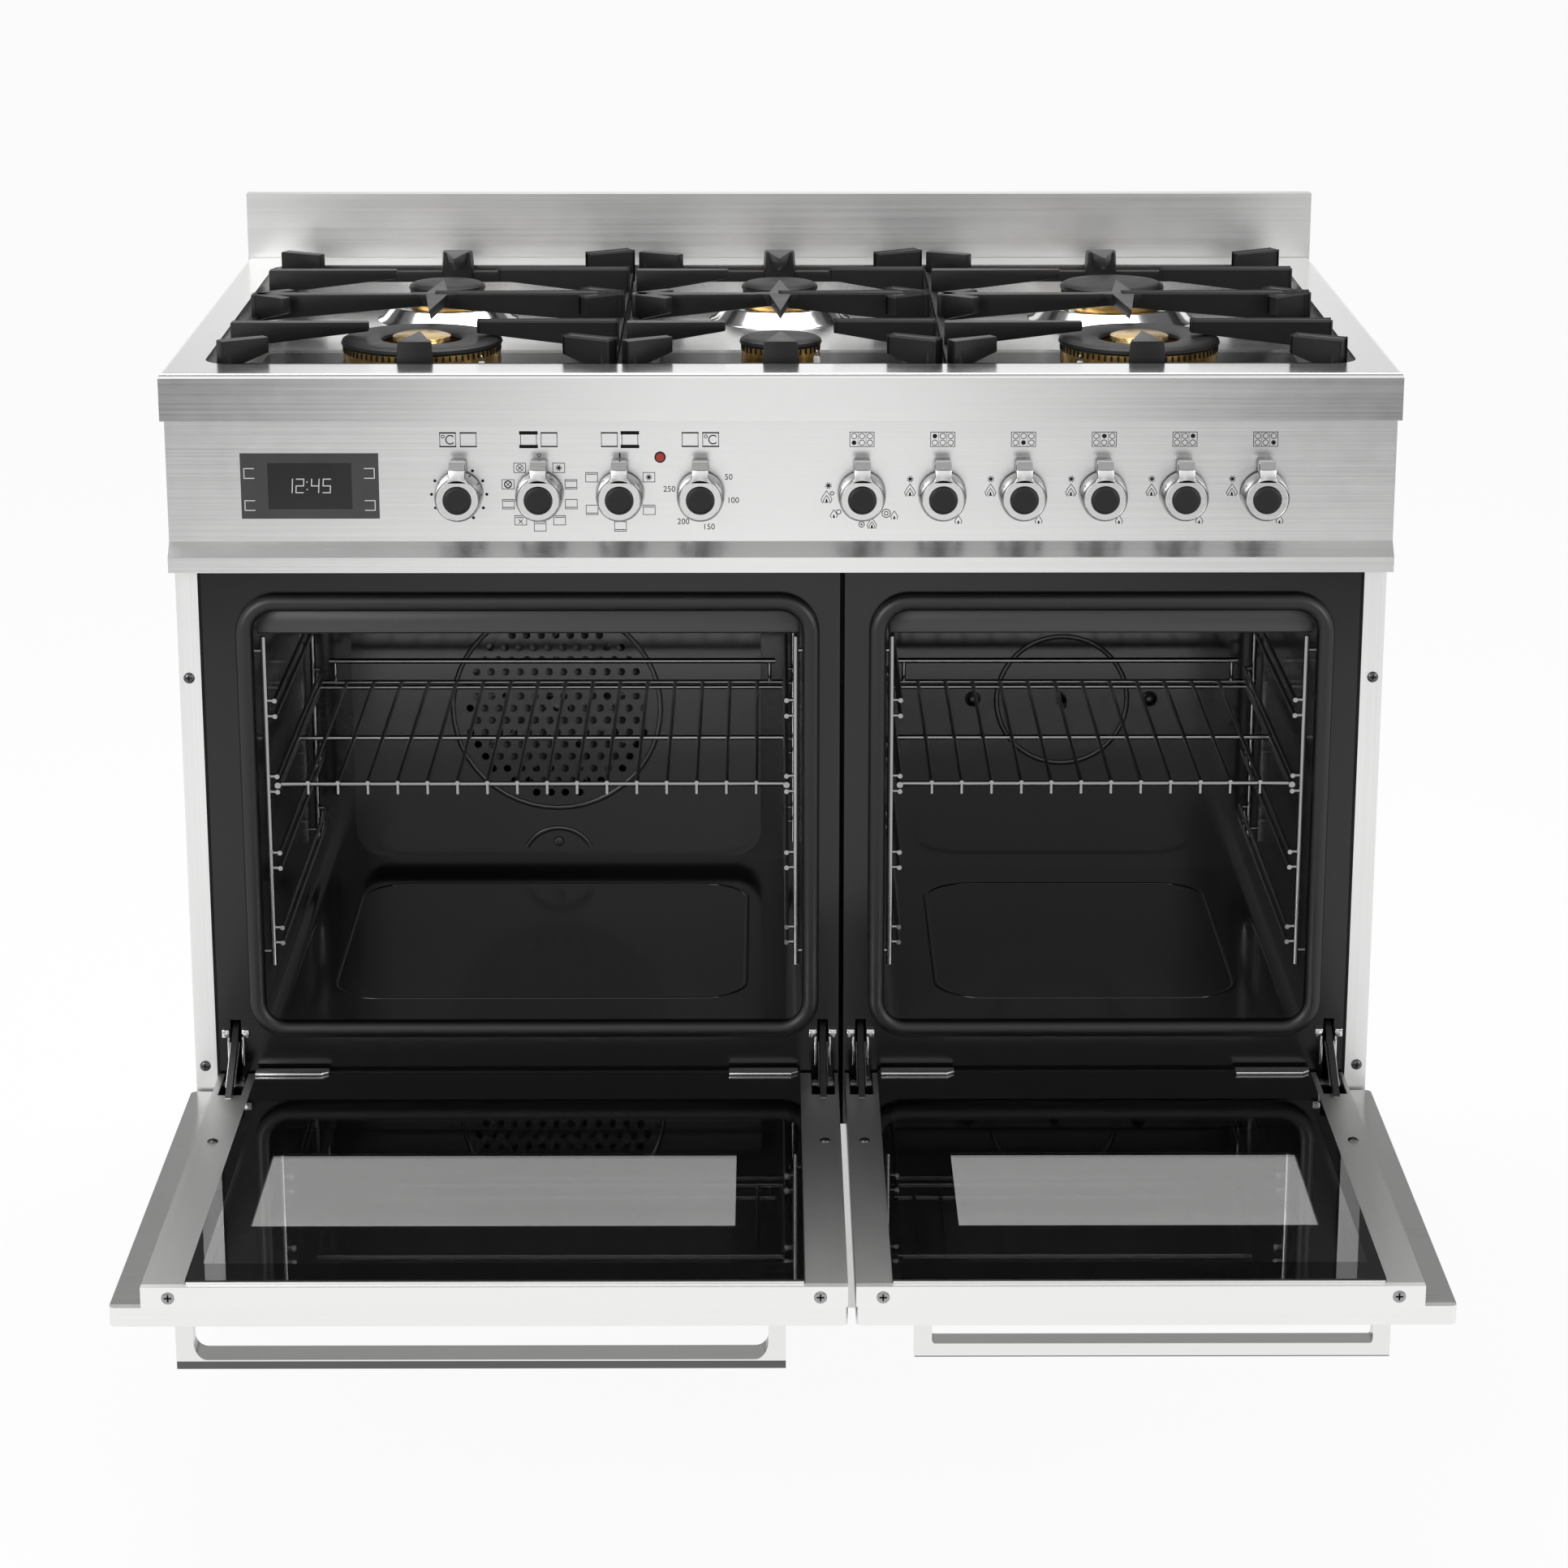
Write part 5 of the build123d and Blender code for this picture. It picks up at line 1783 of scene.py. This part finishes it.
@dataclass
class OvenInterior(Maker):
    """What is pressed into or fixed in an oven, and the seal round its mouth."""

    side: Side
    cavity_x: Point2
    cavity_z: Point2 = (294.0, 650.0)
    rear: float = 449.0
    seal_grow: float = 7.0
    seal_radius: float = 7.0
    seal_flat: float = 0.76
    rib_flat: float = 0.4
    fan_height: float = 451.0
    boss_height: float = 321.0
    probe_place: Point2 = (263.5, 458.0)
    probe_rear: float = 451.0

    def build(self) -> None:
        """Model the pieces."""
        name = self.side.value
        grow = self.seal_grow
        x = (self.cavity_x[0] - grow, self.cavity_x[1] + grow)
        z = (self.cavity_z[0] - grow, self.cavity_z[1] + grow)
        ring = [Place.at(px, self.layout.oven_face - 5.2, pz) for px, pz in rounded_outline(x, z, 26.0, 10)]
        seal = bead(f"seal_{name}", ring, self.seal_radius, self.finishes.rubber, self.seal_flat)
        if self.side is Side.LEFT:
            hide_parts("door_seals")
        self._band()
        self._floor_rib(name)
        if self.side is Side.LEFT:
            self._fan_cover_ribs()
        else:
            self._rear_fittings()

    def _band(self) -> None:
        """Add the deflector strip under the front edge of the ceiling."""
        x = (self.cavity_x[0] + 3.0, self.cavity_x[1] - 3.0)
        z = (self.cavity_z[1] - 21.5, self.cavity_z[1] - 1.0)
        depth = self.layout.oven_face + 6.0
        band = Sketch()
        outline = [(x[0], z[0]), (x[1], z[0]), (x[1], z[1] - 8), (x[1] - 8, z[1]), (x[0] + 8, z[1]),
                   (x[0], z[1] - 8)]
        band.slab(outline, (depth, depth + 1.5), 0.5)
        band.box(x, (depth, depth + 14.0), (z[0], z[0] + 1.5), 0.5)
        band.finish(f"deflector_{self.side.value}", self.finishes.band)

    def _rib(
        self, name: str, points: Sequence[Vector], radius: float = 2.4, cyclic: bool = True, axis: int = 1
    ) -> None:
        """Add a low pressed rib along a line, in the finish of the wall it is pressed into.

        Args:
            name: The piece's name.
            points: Points of the line, in metres.
            radius: Half the rib's width.
            cyclic: Whether the line closes.
            axis: Number of the axis that the wall looks along.
        """
        # Painted light: the fan ribs take the fan cover's lighter enamel.
        finish = self.finishes.cover if name.startswith("fan") else self.finishes.cavity
        bead(name, points, radius, finish, self.rib_flat, cyclic, axis)

    def _circle(self, x: float, z: float, radius: float, span: Point2 = (0.0, 360.0)) -> list[Vector]:
        """Points of a circle or an arc on the rear wall.

        Args:
            x: Its middle.
            z: Its middle.
            radius: Its radius.
            span: First and last angle in degrees.

        Returns:
            The points, in metres.
        """
        steps = 48
        last = steps if span[1] - span[0] >= 360 else steps + 1
        angles = [math.radians(span[0] + (span[1] - span[0]) * i / steps) for i in range(last)]
        return [Place.at(x + radius * math.cos(a), self.rear, z + radius * math.sin(a)) for a in angles]

    def _floor_rib(self, name: str) -> None:
        """Press a rounded frame into the floor.

        Args:
            name: The oven's name.
        """
        x = (self.cavity_x[0] + 48.0, self.cavity_x[1] - 48.0)
        outline = rounded_outline(x, (78.0, 402.0), 42.0, 10)
        points = [Place.at(px, depth, self.cavity_z[0]) for px, depth in outline]
        self._rib(f"floor_rib_{name}", points, 2.2, True, 2)

    def _fan_cover_ribs(self) -> None:
        """Press the ring round the fan cover's holes and the arch below it, and add a boss."""
        x = sum(self.cavity_x) / 2
        self._rib("fan_ring_rib", self._circle(x, self.fan_height, 97.0))
        self._rib("fan_arch_rib", self._circle(x, 300.0, 34.0, (28.0, 152.0)), cyclic=False)
        boss = Sketch()
        foot = Place.at(x, self.rear, self.boss_height)
        boss.spin([(0, 0), (5.0, 0), (4.2, 1.6), (0, 2.2)], foot, FRONT, 24)
        boss.finish("fan_cover_boss", self.finishes.cover)

    def _rear_fittings(self) -> None:
        """Add the ring, the two bosses and the probe on the right rear wall."""
        x, z = self.probe_place
        self.rear = self.probe_rear
        self._rib("right_ring_rib", self._circle(x, z, 61.0))
        fittings = Sketch()
        for shift in (-83.0, 82.0):
            spot = Place.at(x + shift, self.rear, z + 1.0)
            fittings.spin([(3.0, 0), (7.4, 0), (7.0, 2.0), (5.2, 2.8), (3.4, 1.2)], spot, FRONT, 28, True)
            fittings.spin([(0, 0), (2.6, 0), (2.4, 3.0), (0, 3.4)], spot, FRONT, 20)
        fittings.finish("rear_bosses", self.finishes.cavity)
        probe = Sketch()
        probe.spin([(0, 0), (4.6, 0), (4.6, 6.0), (3.4, 7.0), (3.4, 20.0), (2.6, 21.0), (0, 21.0)],
                   Place.at(x, self.rear, z), FRONT, 24)
        probe.finish("probe", self.finishes.button)


@dataclass
class Door(Maker):
    """A drop-down door: black liner round its window, brackets, hinge fittings, screws and handle."""

    side: Side
    glass_x: Point2
    window_x: Point2
    hinge_x: Point2
    bracket_x: Sequence[Point2]
    edge_screw_x: Point2
    handle_x: Point2
    handle_round: float
    handle_strip: float
    handle_slope: float
    window_depth: Point2 = (-265.0, -110.0)
    opening: Point2 = (-397.0, -53.0)
    lap: float = 8.0
    handle_depth: Point2 = (-425.0, -411.0)
    handle_bar: float = 13.0
    channel_screw_depth: float = -139.0
    edge_screw_depth: float = -436.3
    edge_screw_height: float = 238.6
    lug_depth: Point2 = (18.6, 23.2)
    lug_height: Point2 = (279.0, 286.0)
    pocket_depth: Point2 = (-32.8, 18.6)

    def build(self) -> None:
        """Model the door's pieces."""
        self.name = "door_" + self.side.value
        self._liner()
        self._brackets()
        self._hinge_fittings()
        self._screws()
        self._handle()

    def _liner(self) -> None:
        """Line the space under the glass in black, round the window, and trim the glass in front."""
        x = (self.glass_x[0] + self.lap, self.glass_x[1] - self.lap)
        depth, low = self.opening, self.layout.door_outer + 6.2
        wx, wd = self.window_x, self.window_depth
        liner = Sketch()
        z = (low, low + 0.8)
        full = (depth[0] + 0.3, depth[1] - 0.3)
        for bx, bd in (((x[0] + 0.3, wx[0]), full), ((wx[1], x[1] - 0.3), full), (wx, (full[0], wd[0])),
                       (wx, (wd[1], full[1]))):
            liner.box(bx, bd, z)
        wall = (low, self.layout.frame_top - 0.3)
        for side in ((x[0] + 0.2, x[0] + 0.9), (x[1] - 0.9, x[1] - 0.2)):
            liner.box(side, (depth[0] + 0.2, depth[1] - 0.2), wall)
        for end in ((depth[0] + 0.2, depth[0] + 0.9), (depth[1] - 0.9, depth[1] - 0.2)):
            liner.box((x[0] + 0.2, x[1] - 0.2), end, wall)
        liner.finish(self.name + "_liner", self.finishes.liner, self.name)
        border = Sketch()
        top = self.layout.frame_top
        gx = (self.glass_x[0] + 0.6, self.glass_x[1] - 0.6)
        ends = (self.opening[0] - 32.0, 16.0)
        for bx, bd in (((gx[0], x[0] + 1), ends), ((x[1] - 1, gx[1]), ends),
                       (x, (ends[0], depth[0] + 1)), (x, (depth[1] - 1, ends[1]))):
            border.box(bx, bd, (top + 0.02, top + 0.3))
        border.finish(self.name + "_border", self.finishes.liner, self.name)
        near = low_corner(self.name + "_glass").y - self.layout.front_y
        trim = Sketch()
        trim.box(gx, (near - 0.6, near - 0.1), (top + 0.1, top + 1.7))
        trim.finish(self.name + "_glass_trim", self.finishes.side, self.name)

    def _brackets(self) -> None:
        """Add the two steel clips that hold the glass at the hinge side."""
        clips = Sketch()
        z = self.layout.glass_top
        for left, right in self.bracket_x:
            outline = [(left, 4.0), (right - 6, 4.0), (right, 9.0), (right, 17.0), (left, 17.0)]
            clips.prism(outline, (z + 0.05, z + 2.6), 0.5)
        clips.finish(self.name + "_clips", self.finishes.satin, self.name)

    def _hinge_fittings(self) -> None:
        """Add the lugs beside the arm slots, the links along the arms and the pockets that they fold into,
        with black walls as painted shade.
        """
        lugs, links, pockets = Sketch(), Sketch(), Sketch()
        pocket_floor, pocket_top = self.layout.skin_top + 2.0, self.layout.frame_top - 0.3
        for x in self.hinge_x:
            for side in (-1, 1):
                lugs.box(beside(x, side, (5.2, 11.5)), self.lug_depth, self.lug_height, 0.8)
                spot = Place.at(x + side * 9.0, 18.8, 282.5)
                lugs.spin([(0, 0), (2.1, 0), (1.9, 1.0), (0, 1.4)], spot, FRONT, 16)
                lugs.box(beside(x, side, (5.0, 7.0)), (19.0, 23.2), (254.0, 279.5), 0.4)
                link_x = x + side * 3.4
                links.rod(Place.at(link_x, -26.0, 251.0), Place.at(link_x, 15.0, 276.0), 0.75, 10)
                # Painted shade: black walls and floor in the pockets stand in for the shade inside them.
                pockets.box(beside(x, side, (9.2, 9.9)), self.pocket_depth, (pocket_floor, pocket_top))
            pockets.box((x - 9.8, x + 9.8), self.pocket_depth, (pocket_floor - 0.4, pocket_floor + 0.2))
        lugs.finish(self.name + "_arm_lugs", self.finishes.bright)
        links.finish(self.name + "_arm_links", self.finishes.bright, self.name)
        pockets.finish(self.name + "_pockets", self.finishes.liner, self.name)

    def _screws(self) -> None:
        """Add the screws on the channels and on the top edge."""
        f = self.finishes
        for number, x in enumerate(self.hinge_x):
            name = f"{self.name}_channel_screw_{number}"
            place = Place.at(x, self.channel_screw_depth, self.layout.frame_top)
            Screw(name, place, UP, f, f.dark_steel, self.name, 4.4, 1.8).build()
        for number, x in enumerate(self.edge_screw_x):
            name = f"{self.name}_edge_screw_{number}"
            place = Place.at(x, self.edge_screw_depth, self.edge_screw_height)
            Screw(name, place, FRONT, f, f.wire, self.name, 5.4, 1.2).build()

    def _slope_bar(self, handle: Sketch, line: float, curve: float) -> None:
        """Let the inner face of the handle's bar slope down towards the door's edge.

        Args:
            handle: The plain handle.
            line: Height of the inner face.
            curve: Radius of the inner corners.
        """
        near = Place.at(0.0, self.handle_depth[0], 0.0).y
        for vert in handle.mesh.verts:
            rise = (vert.co.z / MM - line) / max(curve, 1.0)
            if abs(vert.co.y - near) < 0.5 * MM and -0.1 <= rise <= 1.0:
                vert.co.z -= self.handle_slope * (1.0 - max(rise, 0.0)) * MM

    def _handle(self) -> None:
        """Model the handle as a bent flat bar in place of its node."""
        node = self.name + "_handle"
        low = low_corner(node).z
        top = self.layout.door_outer
        left, right = self.handle_x
        bar, curve = self.handle_bar, self.handle_round
        foot_line = low + self.handle_strip
        outline = [(left, top), (left, foot_line), (right, foot_line), (right, top), (right - bar, top)]
        for cx, first in ((right - bar - curve, 0), (left + bar + curve, -90)):
            for step in range(9):
                angle = math.radians(first - 90 * step / 8)
                outline.append((cx + curve * math.cos(angle), low + bar + curve + curve * math.sin(angle)))
        outline.append((left + bar, top))
        handle = Sketch()
        handle.slab(outline, self.handle_depth)
        self._slope_bar(handle, low + bar, curve)
        piece = handle.finish(node + "_bar", self.finishes.handle, self.name, 30.0)
        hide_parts(node)
        # Painted shade: a dark steel strip along the foot of the bar stands in for its lower edge, which
        # reflects the shaded floor.
        strip = Sketch()
        near, far = self.handle_depth
        strip.box((left, right), (near + 0.5, far), (low, foot_line + 0.6), 0.4)
        strip.finish(node + "_strip", self.finishes.dark_steel, self.name)


@dataclass
class Ovens(Maker):
    """Both ovens with their doors, and the gaps and screws of the side strips."""

    gap_x: Sequence[Point2] = ((-477.6, -475.4), (475.4, 477.6))
    gap_z: Point2 = (202.0, 686.0)
    strip_screws: Sequence[Point2] = ((-488.0, 592.3), (-488.0, 252.6), (488.0, 592.3), (488.0, 252.6))

    def build(self) -> None:
        """Model the ovens."""
        f, layout = self.finishes, self.layout
        OvenInterior(layout, f, Side.LEFT, (-434.0, 17.5)).build()
        OvenInterior(layout, f, Side.RIGHT, (86.4, 440.7)).build()
        Door(layout, f, Side.LEFT, (-443.5, 16.0), (-416.0, -37.0), (-461.0, 35.0),
             ((-444.0, -382.0), (-44.0, 14.0)), (-455.6, 27.6), (-453.0, 2.0), 10.0, 6.5, 5.5).build()
        Door(layout, f, Side.RIGHT, (81.0, 447.5), (138.0, 420.0), (67.0, 463.0),
             ((84.0, 146.0), (384.0, 446.0)), (74.0, 456.5), (98.0, 453.0), 2.0, 1.2, 2.0).build()
        gaps = Sketch()
        for x in self.gap_x:
            gaps.box(x, (layout.oven_face - 0.25, layout.oven_face + 0.5), self.gap_z)
        gaps.finish("front_shadow_gaps", f.liner)
        for number, (x, z) in enumerate(self.strip_screws):
            place = Place.at(x, layout.oven_face, z)
            Screw(f"strip_screw_{number}", place, FRONT, f, f.dark_steel).build()


@dataclass
class Rear(Maker):
    """Louvres and screws of the back panel."""

    louvre_x: Sequence[float] = (-330.0, -220.0, -110.0, 0.0, 110.0, 220.0, 330.0)
    louvre_z: Sequence[float] = (640.0, 662.0, 684.0)
    louvre_size: Point2 = (80.0, 7.0)
    screw_x: Sequence[float] = (-470.0, -160.0, 160.0, 470.0)
    screw_z: Sequence[float] = (60.0, 420.0, 735.0)

    def build(self) -> None:
        """Model the pieces."""
        back = high_corner("back_panel").y - self.layout.front_y
        hoods, slots, heads = Sketch(), Sketch(), Sketch()
        width, height = self.louvre_size
        for z in self.louvre_z:
            for x in self.louvre_x:
                ends = (x - width / 2, x + width / 2)
                hoods.box(ends, (back - 0.2, back + 2.6), (z, z + height), 1.2)
                # Painted shade: black boxes under the hoods stand in for the shade in the louvre openings.
                slots.box((ends[0] + 2, ends[1] - 2), (back - 0.2, back + 1.6), (z - 2.0, z + 0.4))
        profile = [(0, -0.4), (4.0, -0.4), (4.0, 0.6), (3.2, 1.7), (0, 2.1)]
        for z in self.screw_z:
            row = self.screw_x if z != self.screw_z[1] else (self.screw_x[0], self.screw_x[-1])
            for x in row:
                heads.spin(profile, Place.at(x, back, z), Vector((0, 1, 0)), 20)
        hoods.finish("back_louvres", self.finishes.galvanised)
        slots.finish("back_slots", self.finishes.liner)
        heads.finish("back_screws", self.finishes.bright)


# Stage


@dataclass
class Stage:
    """White floor, soft lamps and the camera."""

    eye: Point2 = (-0.0103, -3.3193)
    eye_height: float = 1.4469
    aim: Point2 = (0.003876, -0.2908)
    lens: float = 93.62
    floor_reach: float = 30.0
    flag_start: float = 0.2
    flag_run: float = 0.9
    flag_near: float = 2.6
    flag_far: float = 0.4
    flag_shade: float = 0.9
    floor_shaded: float = 0.07
    world_level: float = 0.55
    ceiling_tone: float = 0.42
    screen_tone: float = 0.15
    screen_aside: Point2 = (0.009, 0.016)
    screen_behind: Point2 = (0.0, 0.4)
    screen_up: Point2 = (0.15, 0.3)

    def build(self) -> None:
        """Make the stage."""
        self.scene = bpy.context.scene
        self.scene.view_settings.view_transform = "Standard"
        self._world()
        self._floor()
        self._lamps()
        self._camera()

    def _flags(self, graph: Graph) -> Value:
        """Light that the floor beside the camera sends to a mirror, as between two dark flags.

        Args:
            graph: The floor's nodes.

        Returns:
            1 in the middle and in front of the cooker, less to both sides behind the camera.
        """
        x, y = graph.along("X"), graph.along("Y")
        aside = (x * x).power(0.5).step(self.flag_start, self.flag_start + self.flag_run)
        behind = ((-self.flag_near - y) / self.flag_far).clamped()
        return 1.0 - aside * behind * self.flag_shade

    def _white(self) -> Material:
        """A floor that the camera sees as white, with soft shadows.

        Returns:
            The material.
        """
        graph = Graph.material("floor_white")
        glossy = graph.rays("Is Glossy Ray")
        seen = graph.rays("Is Camera Ray", "Is Glossy Ray", "Is Transmission Ray")
        dust = graph.noise(9.0, detail=3.0)
        paint = graph.add("BsdfPrincipled", {
            "Base Color": graph.shade(dust, grey(0.82), 0.99, 1.01), "Roughness": 0.9})
        mirrored = 1.0 - glossy + self._flags(graph) * glossy
        white = graph.add("Emission", {"Color": mirrored, "Strength": 1.0})
        mix = graph.add("MixShader", {
            0: seen * (1.0 - self.floor_shaded), 1: paint.outputs["BSDF"], 2: white.outputs["Emission"]})
        graph.add("OutputMaterial", {"Surface": mix.outputs["Shader"]})
        return graph.owner

    def _floor(self) -> None:
        """Lay the floor."""
        mesh = bmesh.new()
        bmesh.ops.create_grid(mesh, x_segments=1, y_segments=1, size=self.floor_reach)
        data = bpy.data.meshes.new("floor")
        mesh.to_mesh(data)
        mesh.free()
        data.materials.append(self._white())
        floor = bpy.data.objects.new("floor", data)
        self.scene.collection.objects.link(floor)

    def _world(self) -> None:
        """Soft grey light from all round, with a white background."""
        self.scene.world = bpy.data.worlds.new("studio")
        graph = Graph(self.scene.world)
        soft = graph.add("Background", {
            "Color": (1.0, 1.0, 1.0, 1.0), "Strength": self.world_level})
        white = graph.add("Background", {"Color": self._sky(graph)})
        seen = graph.rays("Is Camera Ray", "Is Glossy Ray", "Is Transmission Ray")
        mix = graph.add("MixShader", {0: seen, 1: soft.outputs[0], 2: white.outputs[0]})
        graph.add("OutputWorld", {"Surface": mix.outputs[0]})

    def _sky(self, graph: Graph) -> Socket:
        """White walls under a darker ceiling, with a grey screen on both sides behind the cooker.

        Args:
            graph: The world's nodes.

        Returns:
            The colour socket.
        """
        direction = graph.add("TexCoord").outputs["Generated"]
        split = graph.add("SeparateXYZ", {0: direction})
        aside, behind, up = (Value(graph, socket) for socket in split.outputs)
        sky = graph.ramp(up, ((0.5, grey(1.0)), (0.9, grey(self.ceiling_tone))))
        screen = (aside * aside).step(*self.screen_aside) * behind.step(*self.screen_behind)
        screen = screen * up.step(*self.screen_up)
        mix = graph.add("MixRGB", {"Fac": screen, "Color1": sky, "Color2": (*grey(self.screen_tone), 1.0)})
        return mix.outputs["Color"]

    def _lamp(
        self, name: str, place: Sequence[float], target: Sequence[float], size: Point2, power: float
    ) -> None:
        """Add a rectangular lamp.

        Args:
            name: The lamp's name.
            place: Where it hangs.
            target: What it points at.
            size: Width and height.
            power: Watts.
        """
        data = bpy.data.lights.new(name, "AREA")
        data.shape = "RECTANGLE"
        data.size, data.size_y = size
        data.energy = power
        lamp = bpy.data.objects.new(name, data)
        lamp.location = place
        lamp.rotation_euler = (Vector(target) - Vector(place)).to_track_quat("-Z", "Y").to_euler()
        self.scene.collection.objects.link(lamp)

    def _lamps(self) -> None:
        """Hang the lamps."""
        self._lamp("top_lamp", (-0.3, 1.0, 3.0), (0, 0, 0.7), (2.6, 1.2), 60.0)
        self._lamp("front_left_lamp", (-2.4, -3.4, 1.9), (0, 0, 0.55), (1.6, 2.0), 55.0)
        self._lamp("front_right_lamp", (2.8, -2.6, 1.6), (0, 0, 0.5), (1.2, 1.8), 30.0)

    def _camera(self) -> None:
        """Set the camera at the photograph's view."""
        data = bpy.data.cameras.new("camera")
        data.sensor_width = 36.0
        data.lens = self.lens
        camera = bpy.data.objects.new("camera", data)
        camera.location = (*self.eye, self.eye_height)
        direction = Vector((self.aim[0], 1.0, self.aim[1]))
        camera.rotation_euler = direction.to_track_quat("-Z", "Y").to_euler()
        self.scene.collection.objects.link(camera)
        self.scene.camera = camera


# Carried-over solids


@dataclass
class Carcass:
    """Finishes of the solids that are kept as they are."""

    finishes: Finishes

    def dress(self) -> None:
        """Give each kept solid its material."""
        f = self.finishes
        table: dict[str, Sequence[str]] = {
            "side": ("front_strips",),
            "galvanised": ("side_panels", "back_panel", "base_tray"),
            "panel": ("control_panel",),
            "plinth": ("plinth_panel",),
            "guard": ("backguard",),
            "rim": ("hob_top",),
            "skin": ("door_left_skin", "door_right_skin"),
            "channel": ("door_left_frame", "door_right_frame"),
            "dark_steel": ("hinge_brackets", "grill_elements", "fan_motor", "fan"),
            "front": ("oven_fronts",),
            "cavity": ("oven_cavity_left", "oven_cavity_right"),
            "cover": ("fan_cover",),
            "rubber": ("door_seals",),
            "wire": ("shelf_rails", "shelf_left", "shelf_right"),
            "door_glass": ("door_left_glass", "door_right_glass"),
            "window_glass": ("door_left_window", "door_right_window"),
            "handle": ("door_left_handle", "door_right_handle"),
            "foot": ("feet",),
            "switch": ("oven_switches", "display_module"),
            "lamp": ("indicator_lens",),
            "screen_edge": ("display_glass",),
            "brass": ("gas_taps", "burner_bodies", *(f"gas_plug_{i}" for i in range(1, 7))),
            "pipe": ("gas_manifold",),
            "cap": ("burner_caps",),
            "iron": ("pan_support_left", "pan_support_centre", "pan_support_right"),
            "bright": ("burner_skirts",),
            "ceramic": ("spark_plugs",),
            "satin": (*(f"oven_knob_{i}" for i in range(1, 5)), *(f"gas_knob_{i}" for i in range(1, 7))),
        }
        for finish, nodes in table.items():
            for node in nodes:
                self._assign(node, getattr(f, finish))

    @staticmethod
    def _assign(node: str, material: Material) -> None:
        """Put one material on a solid.

        Args:
            node: The solid's name.
            material: The material.
        """
        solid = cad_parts[node]
        for slot in solid.material_slots:
            slot.material = material
        if not solid.material_slots:
            solid.data.materials.append(material)
        LOG.info("finish %s on %s", material.name, node)


def main() -> None:
    """Dress the cooker and set the stage."""
    logging.basicConfig(level=logging.INFO, format="%(name)s: %(message)s")
    layout = Layout.from_frame()
    Place.front_y = layout.front_y
    finishes = Finishes()
    Carcass(finishes).dress()
    for maker in (Hob, Controls, ControlPanel, Rear, Ovens):
        maker(layout, finishes).build()
    Stage().build()


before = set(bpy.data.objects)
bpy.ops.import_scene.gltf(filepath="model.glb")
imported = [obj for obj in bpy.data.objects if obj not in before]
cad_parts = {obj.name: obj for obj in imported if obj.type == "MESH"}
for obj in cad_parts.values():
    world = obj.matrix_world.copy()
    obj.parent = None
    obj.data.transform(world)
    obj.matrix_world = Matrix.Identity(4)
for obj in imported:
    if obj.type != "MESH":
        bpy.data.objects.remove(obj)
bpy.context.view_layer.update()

if __name__ == "__main__":
    main()
